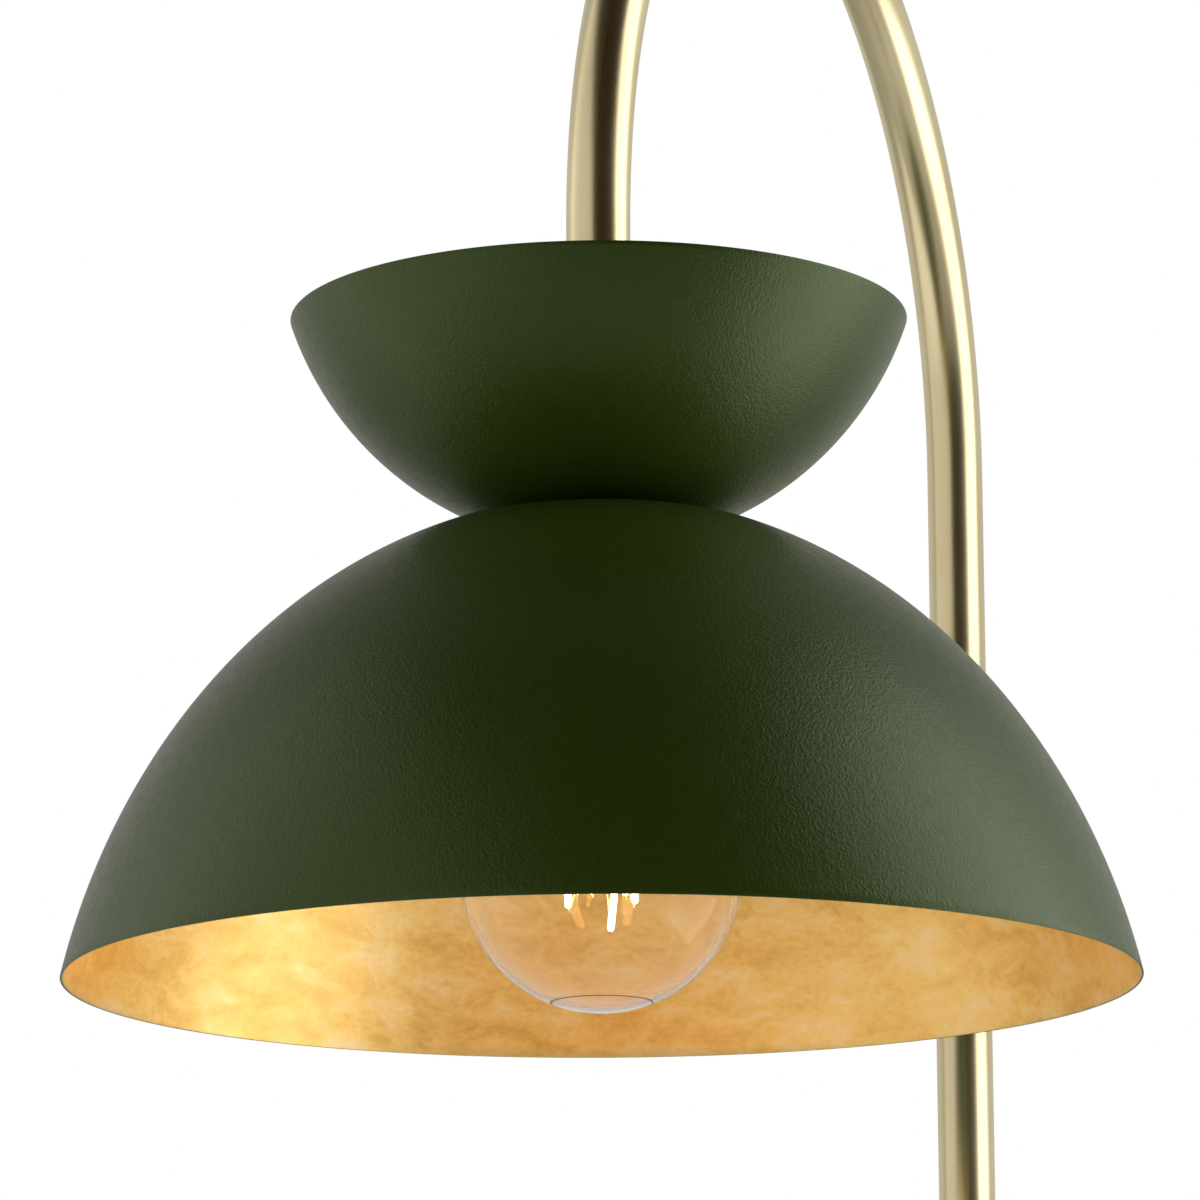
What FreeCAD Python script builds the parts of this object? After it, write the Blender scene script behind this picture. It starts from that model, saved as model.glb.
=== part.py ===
import FreeCAD, Part
import math
import os
import types

import Sketcher
from FreeCAD import Placement, Rotation, Vector

# Adjustable arm floor lamp, in millimetres.
# The origin is on the floor at the pole's axis, +Z is up and the arm reaches along +X.

# Driving dimensions: every other size follows from these through the sheet.
sizes = {
    # overall levels and reach
    "reach": 400,            # pole axis to head axis
    "rimLevel": 1200,        # open rim of the dome, above the floor
    "springRise": 34,        # start of the arch, above the bowl's rim
    # base
    "baseRadius": 150,
    "baseTop": 24,
    "sheetMetal": 1.2,
    "padThick": 2,
    "weightRadius": 146,
    "stemRadius": 6,         # threaded pipe that ties base and pole together
    "stemBore": 4,
    # pole
    "poleRadius": 14,
    "poleTop": 900,
    "tubeRadius": 11,        # the slender tube of the upper pole and the arch
    "tubeWall": 1.5,
    "guideLength": 140,
    "slideFoot": 560,        # lower end of the upper pole
    "swivelLevel": 1120,     # joint between the upper pole and the arch
    "runningGap": 0.05,
    "knobLevel": 886,
    # head
    "domeRim": 180,
    "domeRise": 153,         # rim to flat top
    "domeSemiHeight": 221,
    "domeCentreDrop": 58.5,  # centre of the dome's ellipse, below its rim
    "domeSemiWidth": 186.66,
    "domeWall": 1.2,
    "bowlRim": 105,
    "bowlDepth": 74,
    "bowlSemiHeight": 112.6,
    "bowlCentreRise": 36.8,  # centre of the bowl's ellipse, above its rim
    "bowlSemiWidth": 111.1,
    "bowlWall": 1,
    "pivotRise": 31,         # tilt pivot above the waist
    "forkLength": 24,        # tilt pivot to the end of the arch tube
    "nippleRadius": 5,
    "nippleBore": 3.5,
    # lampholder and bulb
    "holderRadius": 20,
    "bulbRadius": 47.5,
    "bulbCentreRise": 37.5,  # above the dome's rim
    "bulbLength": 138,
    # wiring
    "leadRadius": 2.5,
}


class Size:
    """A length, together with the sheet expression that gives it."""

    def __init__(self, value, text=None):
        self.value = float(value)
        self.text = text if text is not None else repr(float(value))

    def joined(self, sign, other, value):
        return Size(value, "(" + self.text + " " + sign + " " + size(other).text + ")")

    def __add__(self, other):
        return self.joined("+", other, self.value + size(other).value)

    def __sub__(self, other):
        return self.joined("-", other, self.value - size(other).value)

    def __mul__(self, other):
        return self.joined("*", other, self.value * size(other).value)

    def __truediv__(self, other):
        return self.joined("/", other, self.value / size(other).value)


def size(thing):
    return thing if isinstance(thing, Size) else Size(thing)


doc = FreeCAD.newDocument("ArmFloorLamp")
sheet = doc.addObject("Spreadsheet::Sheet", "Sizes")
for row, (alias, number) in enumerate(sizes.items(), start=1):
    sheet.set("A" + str(row), alias)
    sheet.set("B" + str(row), str(number))
    sheet.setAlias("B" + str(row), alias)
doc.recompute()
dim = types.SimpleNamespace(**{alias: Size(number, "Sizes." + alias) for alias, number in sizes.items()})

# Levels and radii that follow from the driving dimensions.
waist = dim.rimLevel + dim.domeRise
bowlRimLevel = waist + dim.bowlDepth
springLevel = bowlRimLevel + dim.springRise
pivotLevel = waist + dim.pivotRise
tubeEnd = pivotLevel + dim.forkLength
tubeBore = dim.tubeRadius - dim.tubeWall
poleBore = dim.poleRadius - dim.tubeWall
bendRadius = dim.reach / 2
nutTop = waist - dim.domeWall - 1.5
capTop = nutTop - 5
bulbCentre = dim.rimLevel + dim.bulbCentreRise
bulbTip = bulbCentre - dim.bulbRadius + dim.bulbLength
capLength = Size(27)
capLow = bulbTip - capLength     # lower edge of the bulb's screw cap

parts = []


def keep(obj, name, x=None, z=None):
    """Label a finished sub-part and stand it at its place."""
    obj.Label = name
    if x is not None:
        obj.setExpression("Placement.Base.x", size(x).text)
    if z is not None:
        obj.setExpression("Placement.Base.z", size(z).text)
    parts.append(obj)
    return obj


def bind(obj, **lengths):
    for prop, length in lengths.items():
        obj.setExpression(prop, size(length).text)


def originPlane(body, role):
    return next(item for item in body.Origin.OriginFeatures if item.Role == role)


def newSketch(body, role, name):
    sketch = body.newObject("Sketcher::SketchObject", name)
    sketch.AttachmentSupport = [(originPlane(body, role), "")]
    sketch.MapMode = "FlatFace"
    return sketch


def pin(sketch, geo, end, across, up):
    """Hold one sketch point at a distance across and up from the sketch's origin."""
    for kind, axis, length in (("DistanceX", -2, size(across)), ("DistanceY", -1, size(up))):
        if length.value == 0:
            sketch.addConstraint(Sketcher.Constraint("PointOnObject", geo, end, axis))
        else:
            index = sketch.addConstraint(Sketcher.Constraint(kind, -1, 1, geo, end, length.value))
            sketch.setExpression("Constraints[" + str(index) + "]", length.text)


def pinOne(sketch, geo, end, kind, length):
    """Hold one coordinate of a sketch point; the curve it lies on settles the other."""
    index = sketch.addConstraint(Sketcher.Constraint(kind, -1, 1, geo, end, size(length).value))
    sketch.setExpression("Constraints[" + str(index) + "]", size(length).text)


class Bend:
    """Stands between two corners of an outline that a round arc joins."""

    def __init__(self, across, up):
        self.across = size(across)
        self.up = size(up)


def outline(sketch, corners):
    """A closed outline: straight from corner to corner, or round where a Bend stands between."""
    spots = [item for item in corners if not isinstance(item, Bend)]
    bends = {}
    for index, item in enumerate(corners):
        if isinstance(item, Bend):
            bends[sum(1 for other in corners[:index] if not isinstance(other, Bend)) - 1] = item
    points = [Vector(size(across).value, size(up).value, 0) for across, up in spots]
    count = len(points)
    ends = []
    for index in range(count):
        here = points[index]
        there = points[(index + 1) % count]
        ends.append((1, 2))
        if index not in bends:
            sketch.addGeometry(Part.LineSegment(here, there))
            continue
        centre = Vector(bends[index].across.value, bends[index].up.value, 0)
        leftTurn = (here - centre).cross(there - centre).z > 0
        first, last = (here, there) if leftTurn else (there, here)
        ends[index] = (1, 2) if leftTurn else (2, 1)
        arc = Part.Circle(centre, Vector(0, 0, 1), (here - centre).Length)
        sketch.addGeometry(Part.ArcOfCircle(
            arc, math.atan2(first.y - centre.y, first.x - centre.x),
            math.atan2(last.y - centre.y, last.x - centre.x)))
    for index in range(count):
        following = (index + 1) % count
        sketch.addConstraint(Sketcher.Constraint("Coincident", index, ends[index][1], following, ends[following][0]))
    for index, (across, up) in enumerate(spots):
        before = bends.get((index - 1) % count)
        if before is None:
            pin(sketch, index, ends[index][0], across, up)
        elif abs(size(across).value - before.across.value) < 0.001:
            pinOne(sketch, index, ends[index][0], "DistanceX", across)
        else:
            pinOne(sketch, index, ends[index][0], "DistanceY", up)
        if index in bends:
            pin(sketch, index, 3, bends[index].across, bends[index].up)


def circle(sketch, radius, across=0, up=0):
    centre = Vector(size(across).value, size(up).value, 0)
    geo = sketch.addGeometry(Part.Circle(centre, Vector(0, 0, 1), size(radius).value))
    index = sketch.addConstraint(Sketcher.Constraint("Radius", geo, size(radius).value))
    sketch.setExpression("Constraints[" + str(index) + "]", size(radius).text)
    pin(sketch, geo, 3, across, up)


def turnedBody(name, corners):
    """A body turned about its own Z axis from (radius, height) corners."""
    body = doc.addObject("PartDesign::Body", name)
    sketch = newSketch(body, "XZ_Plane", name + "_section")
    outline(sketch, corners)
    turn = body.newObject("PartDesign::Revolution", name + "_turn")
    turn.Profile = sketch
    turn.ReferenceAxis = (sketch, ["V_Axis"])
    turn.Angle = 360
    sketch.Visibility = False
    return body


def turned(name, corners, x=None, z=None):
    return keep(turnedBody(name, corners), name, x, z)


def ring(name, inner, outer, height, x=None, z=None):
    """A plain tube, bush or washer."""
    corners = [(inner, 0), (outer, 0), (outer, height), (inner, height)]
    return turned(name, corners, x, z)


def rod(name, radius, height, x=0, y=0, z=0, tilt=None):
    """A plain cylinder, used as a building block; tilt turns its axis away from +Z."""
    solid = doc.addObject("Part::Cylinder", name)
    bind(solid, Radius=radius, Height=height)
    if tilt is not None:
        solid.Placement = Placement(Vector(), tilt)
    for axis, place in (("x", x), ("y", y), ("z", z)):
        solid.setExpression("Placement.Base." + axis, size(place).text)
    return solid


def block(name, length, width, height, x, y, z):
    """A plain box from its low corner, used as a building block."""
    solid = doc.addObject("Part::Box", name)
    bind(solid, Length=length, Width=width, Height=height)
    for axis, place in (("x", x), ("y", y), ("z", z)):
        solid.setExpression("Placement.Base." + axis, size(place).text)
    return solid


def joined(name, solids):
    whole = doc.addObject("Part::MultiFuse", name)
    whole.Shapes = solids
    return whole


def shared(name, solids):
    whole = doc.addObject("Part::MultiCommon", name)
    whole.Shapes = solids
    return whole


def cutAway(name, base, tool):
    whole = doc.addObject("Part::Cut", name)
    whole.Base = base
    whole.Tool = tool
    return whole


def grouped(name, solids):
    """Separate solids that share one node, such as a pair of screws."""
    whole = doc.addObject("Part::Compound", name)
    whole.Links = solids
    return whole


alongX = Rotation(Vector(0, 1, 0), 90)
alongY = Rotation(Vector(1, 0, 0), -90)
againstX = Rotation(Vector(0, 1, 0), -90)
againstY = Rotation(Vector(1, 0, 0), 90)

clear = Size(0.3)    # drilled hole over a stud
past = Size(2)       # how far a cutting tool runs out beyond the work


def minus(length):
    return Size(-1) * length


# ---- base ----------------------------------------------------------------------------

recessTop = Size(16)
glandLevel = Size(8.5)
glandBore = Size(3.6)
glandNeck = Size(5)
pocketNear = Size(40)
pocketLength = Size(36)
leadRise = Size(62)      # top of the lead that comes up through the stem
washerThick = Size(1.5)
nutThick = Size(5)


def basePad():
    """Rubber disc that rests on the floor, under everything else."""
    edge = dim.weightRadius - 4
    turned("base_pad", [(0, 0), (edge, 0), (edge, dim.padThick), (0, dim.padThick)])


def baseWeight():
    """Cast disc with a recess for the stem's nut and a channel out to the cord inlet."""
    top = dim.baseTop - dim.sheetMetal
    chamfer = 6
    bore = dim.stemRadius + clear
    recess = Size(18)
    channelHalf = Size(6)
    channelTop = 13
    pocketHalf = Size(13)
    pocketTop = 14
    disc = turnedBody("base_weight_disc", [
        (bore, recessTop), (recess, recessTop), (recess, dim.padThick),
        (dim.weightRadius, dim.padThick), (dim.weightRadius, top - chamfer),
        (dim.weightRadius - chamfer, top), (bore, top)])
    channel = block("base_weight_channel", dim.weightRadius, channelHalf * 2, channelTop,
                    minus(dim.weightRadius) - past, minus(channelHalf), 0)
    pocket = block("base_weight_pocket", pocketLength, pocketHalf * 2, pocketTop,
                   minus(pocketNear + pocketLength), minus(pocketHalf), 0)
    tool = joined("base_weight_hollows", [channel, pocket])
    keep(cutAway("base_weight", disc, tool), "base_weight")


def baseCover():
    """Spun metal cover over the weight, with a rolled shoulder and a hole for the cord inlet."""
    skin = dim.sheetMetal
    bend = 6
    lift = 1                 # the cover's edge stands clear of the floor
    bore = dim.stemRadius + clear
    middle = dim.baseRadius - bend
    level = dim.baseTop - bend
    inside = dim.baseRadius - skin
    body = turnedBody("base_cover_spun", [
        (bore, dim.baseTop - skin), (middle, dim.baseTop - skin), Bend(middle, level),
        (inside, level), (inside, lift), (dim.baseRadius, lift),
        (dim.baseRadius, level), Bend(middle, level),
        (middle, dim.baseTop), (bore, dim.baseTop)])
    hole = rod("base_cover_inlet", glandNeck, past * 4, minus(dim.baseRadius) - past, 0, glandLevel, alongX)
    keep(cutAway("base_cover", body, hole), "base_cover")


def cordGland():
    """Grommet in the cover's side wall, where a mains cord would enter."""
    outerLip = 7
    innerLip = 6.2
    front = -2
    innerFace = dim.sheetMetal + 0.15    # clears the cover's curve
    back = dim.sheetMetal + 1.6
    body = turnedBody("cord_gland", [
        (glandBore, front), (outerLip, front), (outerLip, 0), (glandNeck, 0), (glandNeck, innerFace),
        (innerLip, innerFace), (innerLip, back), (glandBore, back)])
    keep(body, "cord_gland")
    body.Placement.Rotation = alongX
    bind(body, **{"Placement.Base.x": minus(dim.baseRadius), "Placement.Base.z": glandLevel})


def hexagon(name, across, bore, thick, x, z):
    """A hexagon nut, padded from a sketch of its six corners and its bore."""
    body = doc.addObject("PartDesign::Body", name)
    sketch = newSketch(body, "XY_Plane", name + "_face")
    reachOut = size(across) / math.sqrt(3)
    outline(sketch, [(reachOut * round(math.cos(math.radians(60 * turn)), 12),
                      reachOut * round(math.sin(math.radians(60 * turn)), 12)) for turn in range(6)])
    circle(sketch, bore)
    pad = body.newObject("PartDesign::Pad", name + "_pad")
    pad.Profile = sketch
    pad.Length = size(thick).value
    bind(pad, Length=thick)
    sketch.Visibility = False
    return keep(body, name, x, z)


def stem():
    """Threaded pipe from the weight's recess up into the pole, with its washer and nut."""
    stemLow = 9
    stemTop = 50
    washerRadius = 15
    acrossFlats = 19
    ring("base_stem", dim.stemBore, dim.stemRadius, stemTop - stemLow, z=stemLow)
    ring("stem_washer", dim.stemRadius, washerRadius, washerThick, z=recessTop - washerThick)
    hexagon("stem_nut", acrossFlats, dim.stemRadius, nutThick, None, recessTop - washerThick - nutThick)


def terminalBlock():
    """Small connector in the weight's pocket, where the mains cord meets the inner lead."""
    length = Size(28)
    halfWidth = Size(9)
    height = 9
    low = Size(5)
    wellRadius = 2
    wellDepth = 3
    screwRadius = 1.9
    screwLength = 2.5
    spots = [(pocketNear + along, side) for along in (26, 10) for side in (-4.5, 4.5)]
    body = block("terminal_block_body", length, halfWidth * 2, height,
                 minus(pocketNear + 4 + length), minus(halfWidth), low)
    wells = [rod("terminal_block_well_" + str(index), wellRadius, wellDepth + 1, minus(along), side, low - 1)
             for index, (along, side) in enumerate(spots)]
    keep(cutAway("terminal_block", body, joined("terminal_block_wells", wells)), "terminal_block")
    screws = [rod("terminal_screw_" + str(index), screwRadius, screwLength, minus(along), side, low + 0.4)
              for index, (along, side) in enumerate(spots)]
    keep(grouped("terminal_screws", screws), "terminal_screws")


# ---- pole ----------------------------------------------------------------------------

screwHole = Size(3)      # lock screw's hole through collar, pole and sleeve


def lowerPole():
    """Outer pole on the base, its threaded foot, and the flange that hides the joint."""
    length = dim.poleTop - dim.baseTop
    footLength = 36
    flangeRadius = Size(32)
    flangeHeight = 8
    tube = turnedBody("lower_pole_tube", [
        (poleBore, 0), (dim.poleRadius, 0), (dim.poleRadius, length), (poleBore, length)])
    bind(tube, **{"Placement.Base.z": dim.baseTop})
    bore = rod("lower_pole_screw_hole", screwHole, past * 4, minus(dim.poleRadius) - past, 0, dim.knobLevel, alongX)
    keep(cutAway("lower_pole", tube, bore), "lower_pole")
    ring("pole_foot", dim.stemRadius, poleBore, footLength, z=dim.baseTop)
    turned("pole_flange", [
        (dim.poleRadius, 0), (flangeRadius, 0), (flangeRadius, 2), (flangeRadius - 2, 4),
        (flangeRadius - 12, flangeHeight), (dim.poleRadius, flangeHeight)], z=dim.baseTop)


def guideSleeve():
    """Long nylon sleeve in the pole's mouth that the upper pole runs in."""
    bore = dim.tubeRadius + dim.runningGap
    lipTop = dim.guideLength + 2
    sleeve = turnedBody("guide_sleeve_turned", [
        (bore, 0), (poleBore, 0), (poleBore, dim.guideLength), (dim.poleRadius, dim.guideLength),
        (dim.poleRadius, lipTop), (bore, lipTop)])
    bind(sleeve, **{"Placement.Base.z": dim.poleTop - dim.guideLength})
    hole = rod("guide_sleeve_screw_hole", screwHole, past * 4, minus(dim.poleRadius) - past, 0, dim.knobLevel, alongX)
    keep(cutAway("guide_sleeve", sleeve, hole), "guide_sleeve")


def poleCollar():
    """Collar over the pole's mouth, with a boss for the lock screw."""
    skirt = Size(28)         # how far the collar comes down over the pole
    outer = Size(18)
    height = Size(40)
    mouth = dim.tubeRadius + 0.4
    step = skirt + 2
    bossRadius = 6
    bossFace = Size(21)
    low = dim.poleTop - skirt
    shell = turnedBody("pole_collar_turned", [
        (dim.poleRadius, 0), (outer - 1, 0), (outer, 1), (outer, height - 1), (outer - 1, height),
        (mouth, height), (mouth, step), (dim.poleRadius, step)])
    bind(shell, **{"Placement.Base.z": low})
    boss = rod("pole_collar_boss", bossRadius, bossFace - 15, minus(bossFace), 0, dim.knobLevel, alongX)
    core = rod("pole_collar_core", dim.poleRadius, step, z=low)
    whole = joined("pole_collar_whole", [shell, cutAway("pole_collar_boss_fit", boss, core)])
    hole = rod("pole_collar_screw_hole", screwHole, past * 5, minus(bossFace) - past, 0, dim.knobLevel, alongX)
    keep(cutAway("pole_collar", whole, hole), "pole_collar")


def lockKnob():
    """Knurled knob with its screw, and the soft pad that the screw presses on the tube."""
    padRadius = 2.9
    padLength = Size(2.6)
    screwRadius = 2.95
    screwLength = 8.5
    neck = Size(6)
    grip = Size(11)
    gripLow = 11
    gripTop = Size(25)
    fluteRadius = 1.1
    fluteCount = 24
    pad = turnedBody("lock_pad", [(0, 0), (padRadius, 0), (padRadius, padLength), (0, padLength)])
    keep(pad, "lock_pad")
    pad.Placement.Rotation = againstX
    tubeFace = dim.tubeRadius + dim.runningGap
    bind(pad, **{"Placement.Base.x": minus(tubeFace), "Placement.Base.z": dim.knobLevel})
    body = turnedBody("lock_knob", [
        (0, 0), (screwRadius, 0), (screwRadius, screwLength), (neck, screwLength), (neck, gripLow - 1),
        (grip, gripLow), (grip, gripTop - 2), (grip - 1.5, gripTop), (0, gripTop)])
    flute = newSketch(body, "XY_Plane", "lock_knob_flute")
    circle(flute, fluteRadius, grip + 0.5, 0)
    cut = body.newObject("PartDesign::Pocket", "lock_knob_flute_cut")
    cut.Profile = flute
    cut.Type = "ThroughAll"
    cut.Midplane = True
    doc.recompute()
    knurl = body.newObject("PartDesign::PolarPattern", "lock_knob_knurl")
    knurl.Originals = [cut]
    knurl.Axis = (flute, ["N_Axis"])
    knurl.Angle = 360
    knurl.Occurrences = fluteCount
    body.Tip = knurl
    keep(body, "lock_knob")
    body.Placement.Rotation = againstX
    bind(body, **{"Placement.Base.x": minus(tubeFace + padLength), "Placement.Base.z": dim.knobLevel})


def upperPole():
    """Sliding tube, the nylon slide at its foot, and the spigot that the arch turns on."""
    ring("upper_pole", tubeBore, dim.tubeRadius, dim.swivelLevel - dim.slideFoot, z=dim.slideFoot)
    slideLength = 30
    ring("pole_slide", dim.tubeRadius, poleBore - dim.runningGap, slideLength, z=dim.slideFoot + 20)
    fit = tubeBore - dim.runningGap
    spigotBore = 5
    seat = Size(40)          # the spigot's length below the swivel
    top = Size(90)
    spigot = turnedBody("swivel_spigot_turned", [
        (spigotBore, 0), (tubeBore, 0), (tubeBore, seat), (fit, seat),
        (fit, top - 1), (fit - 1, top), (spigotBore, top)])
    bind(spigot, **{"Placement.Base.z": dim.swivelLevel - seat})
    grooveAngle = 328
    grooveFloor = 7.6
    grooveWidth = Size(6)
    groove = rod("swivel_stop_sector", dim.tubeRadius + 1, grooveWidth, z=stopLevel - grooveWidth / 2)
    groove.Angle = grooveAngle
    groove.Placement.Rotation = Rotation(Vector(0, 0, 1), 180 - grooveAngle / 2)
    floor = rod("swivel_stop_floor", grooveFloor, grooveWidth + 2, z=stopLevel - grooveWidth / 2 - 1)
    track = cutAway("swivel_stop_track", groove, floor)
    keep(cutAway("swivel_spigot", spigot, track), "swivel_spigot")
    ring("swivel_washer", tubeBore, dim.tubeRadius, washerHeight, z=dim.swivelLevel)


# ---- arch ----------------------------------------------------------------------------

washerHeight = Size(1)
stopLevel = dim.swivelLevel + 23


def bentPipe(name, start, bore, radius, drop):
    """A pipe from (0, 0, start) up, over a half circle and down to the level of drop."""
    body = doc.addObject("PartDesign::Body", name)
    path = newSketch(body, "XZ_Plane", name + "_path")
    up = springLevel - start
    down = springLevel - drop
    top = Vector(0, up.value, 0)
    centre = Vector(bendRadius.value, up.value, 0)
    path.addGeometry(Part.LineSegment(Vector(0, 0, 0), top))
    path.addGeometry(Part.ArcOfCircle(Part.Circle(centre, Vector(0, 0, 1), bendRadius.value), 0, math.pi))
    path.addGeometry(Part.LineSegment(Vector(dim.reach.value, up.value, 0),
                                      Vector(dim.reach.value, up.value - down.value, 0)))
    path.addConstraint(Sketcher.Constraint("Coincident", 0, 2, 1, 2))
    path.addConstraint(Sketcher.Constraint("Coincident", 1, 1, 2, 1))
    pin(path, 0, 1, 0, 0)
    pin(path, 0, 2, 0, up)
    pin(path, 1, 3, bendRadius, up)
    pinOne(path, 1, 1, "DistanceY", up)
    pin(path, 2, 2, dim.reach, up - down)
    section = newSketch(body, "XY_Plane", name + "_section")
    circle(section, radius)
    if bore is not None:
        circle(section, bore)
    pipe = body.newObject("PartDesign::AdditivePipe", name + "_sweep")
    pipe.Profile = section
    pipe.Spine = (path, ["Edge1", "Edge2", "Edge3"])
    pipe.Transition = "Transformed"
    return body


def archArm():
    """The arched tube, drilled for the stop screw that limits its swivel."""
    start = dim.swivelLevel + washerHeight + dim.runningGap
    screwRadius = 2
    screwLength = 3
    socketRadius = 1
    socketDepth = 1.4
    face = minus(dim.tubeRadius)
    tube = bentPipe("arch_arm_tube", start, tubeBore, dim.tubeRadius, tubeEnd)
    bind(tube, **{"Placement.Base.z": start})
    hole = rod("arch_arm_screw_hole", screwRadius, past * 3, face - past, 0, stopLevel, alongX)
    keep(cutAway("arch_arm", tube, hole), "arch_arm")
    screw = rod("stop_screw_shank", screwRadius, screwLength, face, 0, stopLevel, alongX)
    socket = rod("stop_screw_socket", socketRadius, socketDepth + 1, face - 1, 0, stopLevel, alongX)
    keep(cutAway("stop_screw", screw, socket), "stop_screw")


cheekIn = Size(7.05)
cheekOut = Size(10)
tongueIn = Size(4)
tongueOut = Size(6.5)
knuckleHalf = Size(8)
pinRadius = Size(2.5)
shoulderHeight = Size(5)


def cheekPair(name, inner, outer, low, high, pivotHole):
    """Two flat cheeks either side of the centre, each with a round end about the pivot."""
    pieces = []
    thick = outer - inner
    for nearFace, word in ((inner, "left"), (minus(outer), "right")):
        plate = block(name + "_plate_" + word, knuckleHalf * 2, thick, high - low,
                      dim.reach - knuckleHalf, nearFace, low)
        eye = rod(name + "_eye_" + word, knuckleHalf, thick, dim.reach, nearFace, pivotLevel, alongY)
        whole = joined(name + "_cheek_" + word, [plate, eye])
        hole = rod(name + "_hole_" + word, pivotHole, thick + 2, dim.reach, nearFace - 1, pivotLevel, alongY)
        pieces.append(cutAway(name + "_drilled_" + word, whole, hole))
    return pieces


def tiltFork():
    """Fork plugged into the end of the arch tube."""
    leadWay = 4
    neck = rod("tilt_fork_neck", tubeBore, 24, dim.reach, 0, tubeEnd)
    shoulder = rod("tilt_fork_shoulder", dim.tubeRadius, shoulderHeight, dim.reach, 0, tubeEnd - shoulderHeight)
    cheeks = cheekPair("tilt_fork", cheekIn, cheekOut, pivotLevel, tubeEnd - shoulderHeight + 1, pinRadius + 0.05)
    bore = rod("tilt_fork_bore", leadWay, 40, dim.reach, 0, tubeEnd - 8)
    keep(cutAway("tilt_fork", joined("tilt_fork_whole", [neck, shoulder] + cheeks), bore), "tilt_fork")


def tiltTongue():
    """Lower half of the knuckle, screwed on the nipple that carries the shades."""
    low = waist + dim.bowlWall + bowlWasherThick
    footRadius = 13
    footHeight = Size(6)
    foot = rod("tilt_tongue_foot", footRadius, footHeight, dim.reach, 0, low)
    cheeks = cheekPair("tilt_tongue", tongueIn, tongueOut, low + footHeight - 1, pivotLevel, pinRadius)
    bore = rod("tilt_tongue_bore", dim.nippleRadius, footHeight + 2, dim.reach, 0, low - 1)
    keep(cutAway("tilt_tongue", joined("tilt_tongue_whole", [foot] + cheeks), bore), "tilt_tongue")


def pivotScrews():
    """Two shoulder screws and two friction washers: the middle stays open for the lead."""
    headRadius = Size(5)
    headHeight = Size(2.5)
    slotWidth = Size(1)
    discRadius = 7
    discThick = 0.5
    gap = dim.runningGap
    screws = []
    washers = []
    for side, word, turn in ((1, "left", alongY), (-1, "right", againstY)):
        shank = rod("pivot_shank_" + word, pinRadius, cheekOut + gap - tongueIn, dim.reach,
                    tongueIn * side, pivotLevel, turn)
        head = rod("pivot_head_" + word, headRadius, headHeight, dim.reach, (cheekOut + gap) * side, pivotLevel, turn)
        slot = block("pivot_slot_" + word, headRadius * 2, slotWidth, slotWidth,
                     dim.reach - headRadius, 0, pivotLevel - slotWidth / 2)
        middle = (cheekOut + gap + headHeight - slotWidth / 2) * side
        slot.setExpression("Placement.Base.y", (middle - slotWidth / 2).text)
        screws.append(cutAway("pivot_screw_" + word, joined("pivot_whole_" + word, [shank, head]), slot))
        disc = rod("friction_disc_" + word, discRadius, discThick, dim.reach, tongueOut * side, pivotLevel, turn)
        eye = rod("friction_eye_" + word, pinRadius, 2, dim.reach, (tongueOut - 1) * side, pivotLevel, turn)
        washers.append(cutAway("friction_washer_" + word, disc, eye))
    keep(grouped("pivot_screws", screws), "pivot_screws")
    keep(grouped("friction_washers", washers), "friction_washers")


# ---- shades --------------------------------------------------------------------------

bowlWasherThick = Size(2)
slabMargin = Size(20)


def ellipsoid(name, semiHeight, semiWidth, level):
    solid = doc.addObject("Part::Ellipsoid", name)
    solid.Angle3 = 360
    bind(solid, Radius1=semiHeight, Radius2=semiWidth, Radius3=semiWidth)
    bind(solid, **{"Placement.Base.x": dim.reach, "Placement.Base.z": level})
    return solid


def domeShade():
    """Large dome, open below, cut off flat on top and drilled for the nipple."""
    wall = dim.domeWall
    centre = dim.rimLevel - dim.domeCentreDrop
    reachOut = dim.domeRim + slabMargin
    outer = shared("dome_outer", [
        ellipsoid("dome_outer_ellipsoid", dim.domeSemiHeight, dim.domeSemiWidth, centre),
        rod("dome_outer_slab", reachOut, dim.domeRise, dim.reach, 0, dim.rimLevel)])
    inner = shared("dome_inner", [
        ellipsoid("dome_inner_ellipsoid", dim.domeSemiHeight - wall, dim.domeSemiWidth - wall, centre),
        rod("dome_inner_slab", reachOut, dim.domeRise - wall + past, dim.reach, 0, dim.rimLevel - past)])
    hole = rod("dome_hole", dim.nippleRadius, past * 2, dim.reach, 0, waist - past)
    keep(cutAway("dome_shade", outer, joined("dome_hollow", [inner, hole])), "dome_shade")


def upperBowl():
    """Smaller bowl that stands open side up on the dome."""
    wall = dim.bowlWall
    centre = bowlRimLevel + dim.bowlCentreRise
    reachOut = dim.bowlRim + slabMargin
    outer = shared("bowl_outer", [
        ellipsoid("bowl_outer_ellipsoid", dim.bowlSemiHeight, dim.bowlSemiWidth, centre),
        rod("bowl_outer_slab", reachOut, dim.bowlDepth, dim.reach, 0, waist)])
    inner = shared("bowl_inner", [
        ellipsoid("bowl_inner_ellipsoid", dim.bowlSemiHeight - wall, dim.bowlSemiWidth - wall, centre),
        rod("bowl_inner_slab", reachOut, dim.bowlDepth - wall + past, dim.reach, 0, waist + wall)])
    hole = rod("bowl_hole", dim.nippleRadius, past * 2, dim.reach, 0, waist - past)
    keep(cutAway("upper_bowl", outer, joined("bowl_hollow", [inner, hole])), "upper_bowl")


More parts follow.
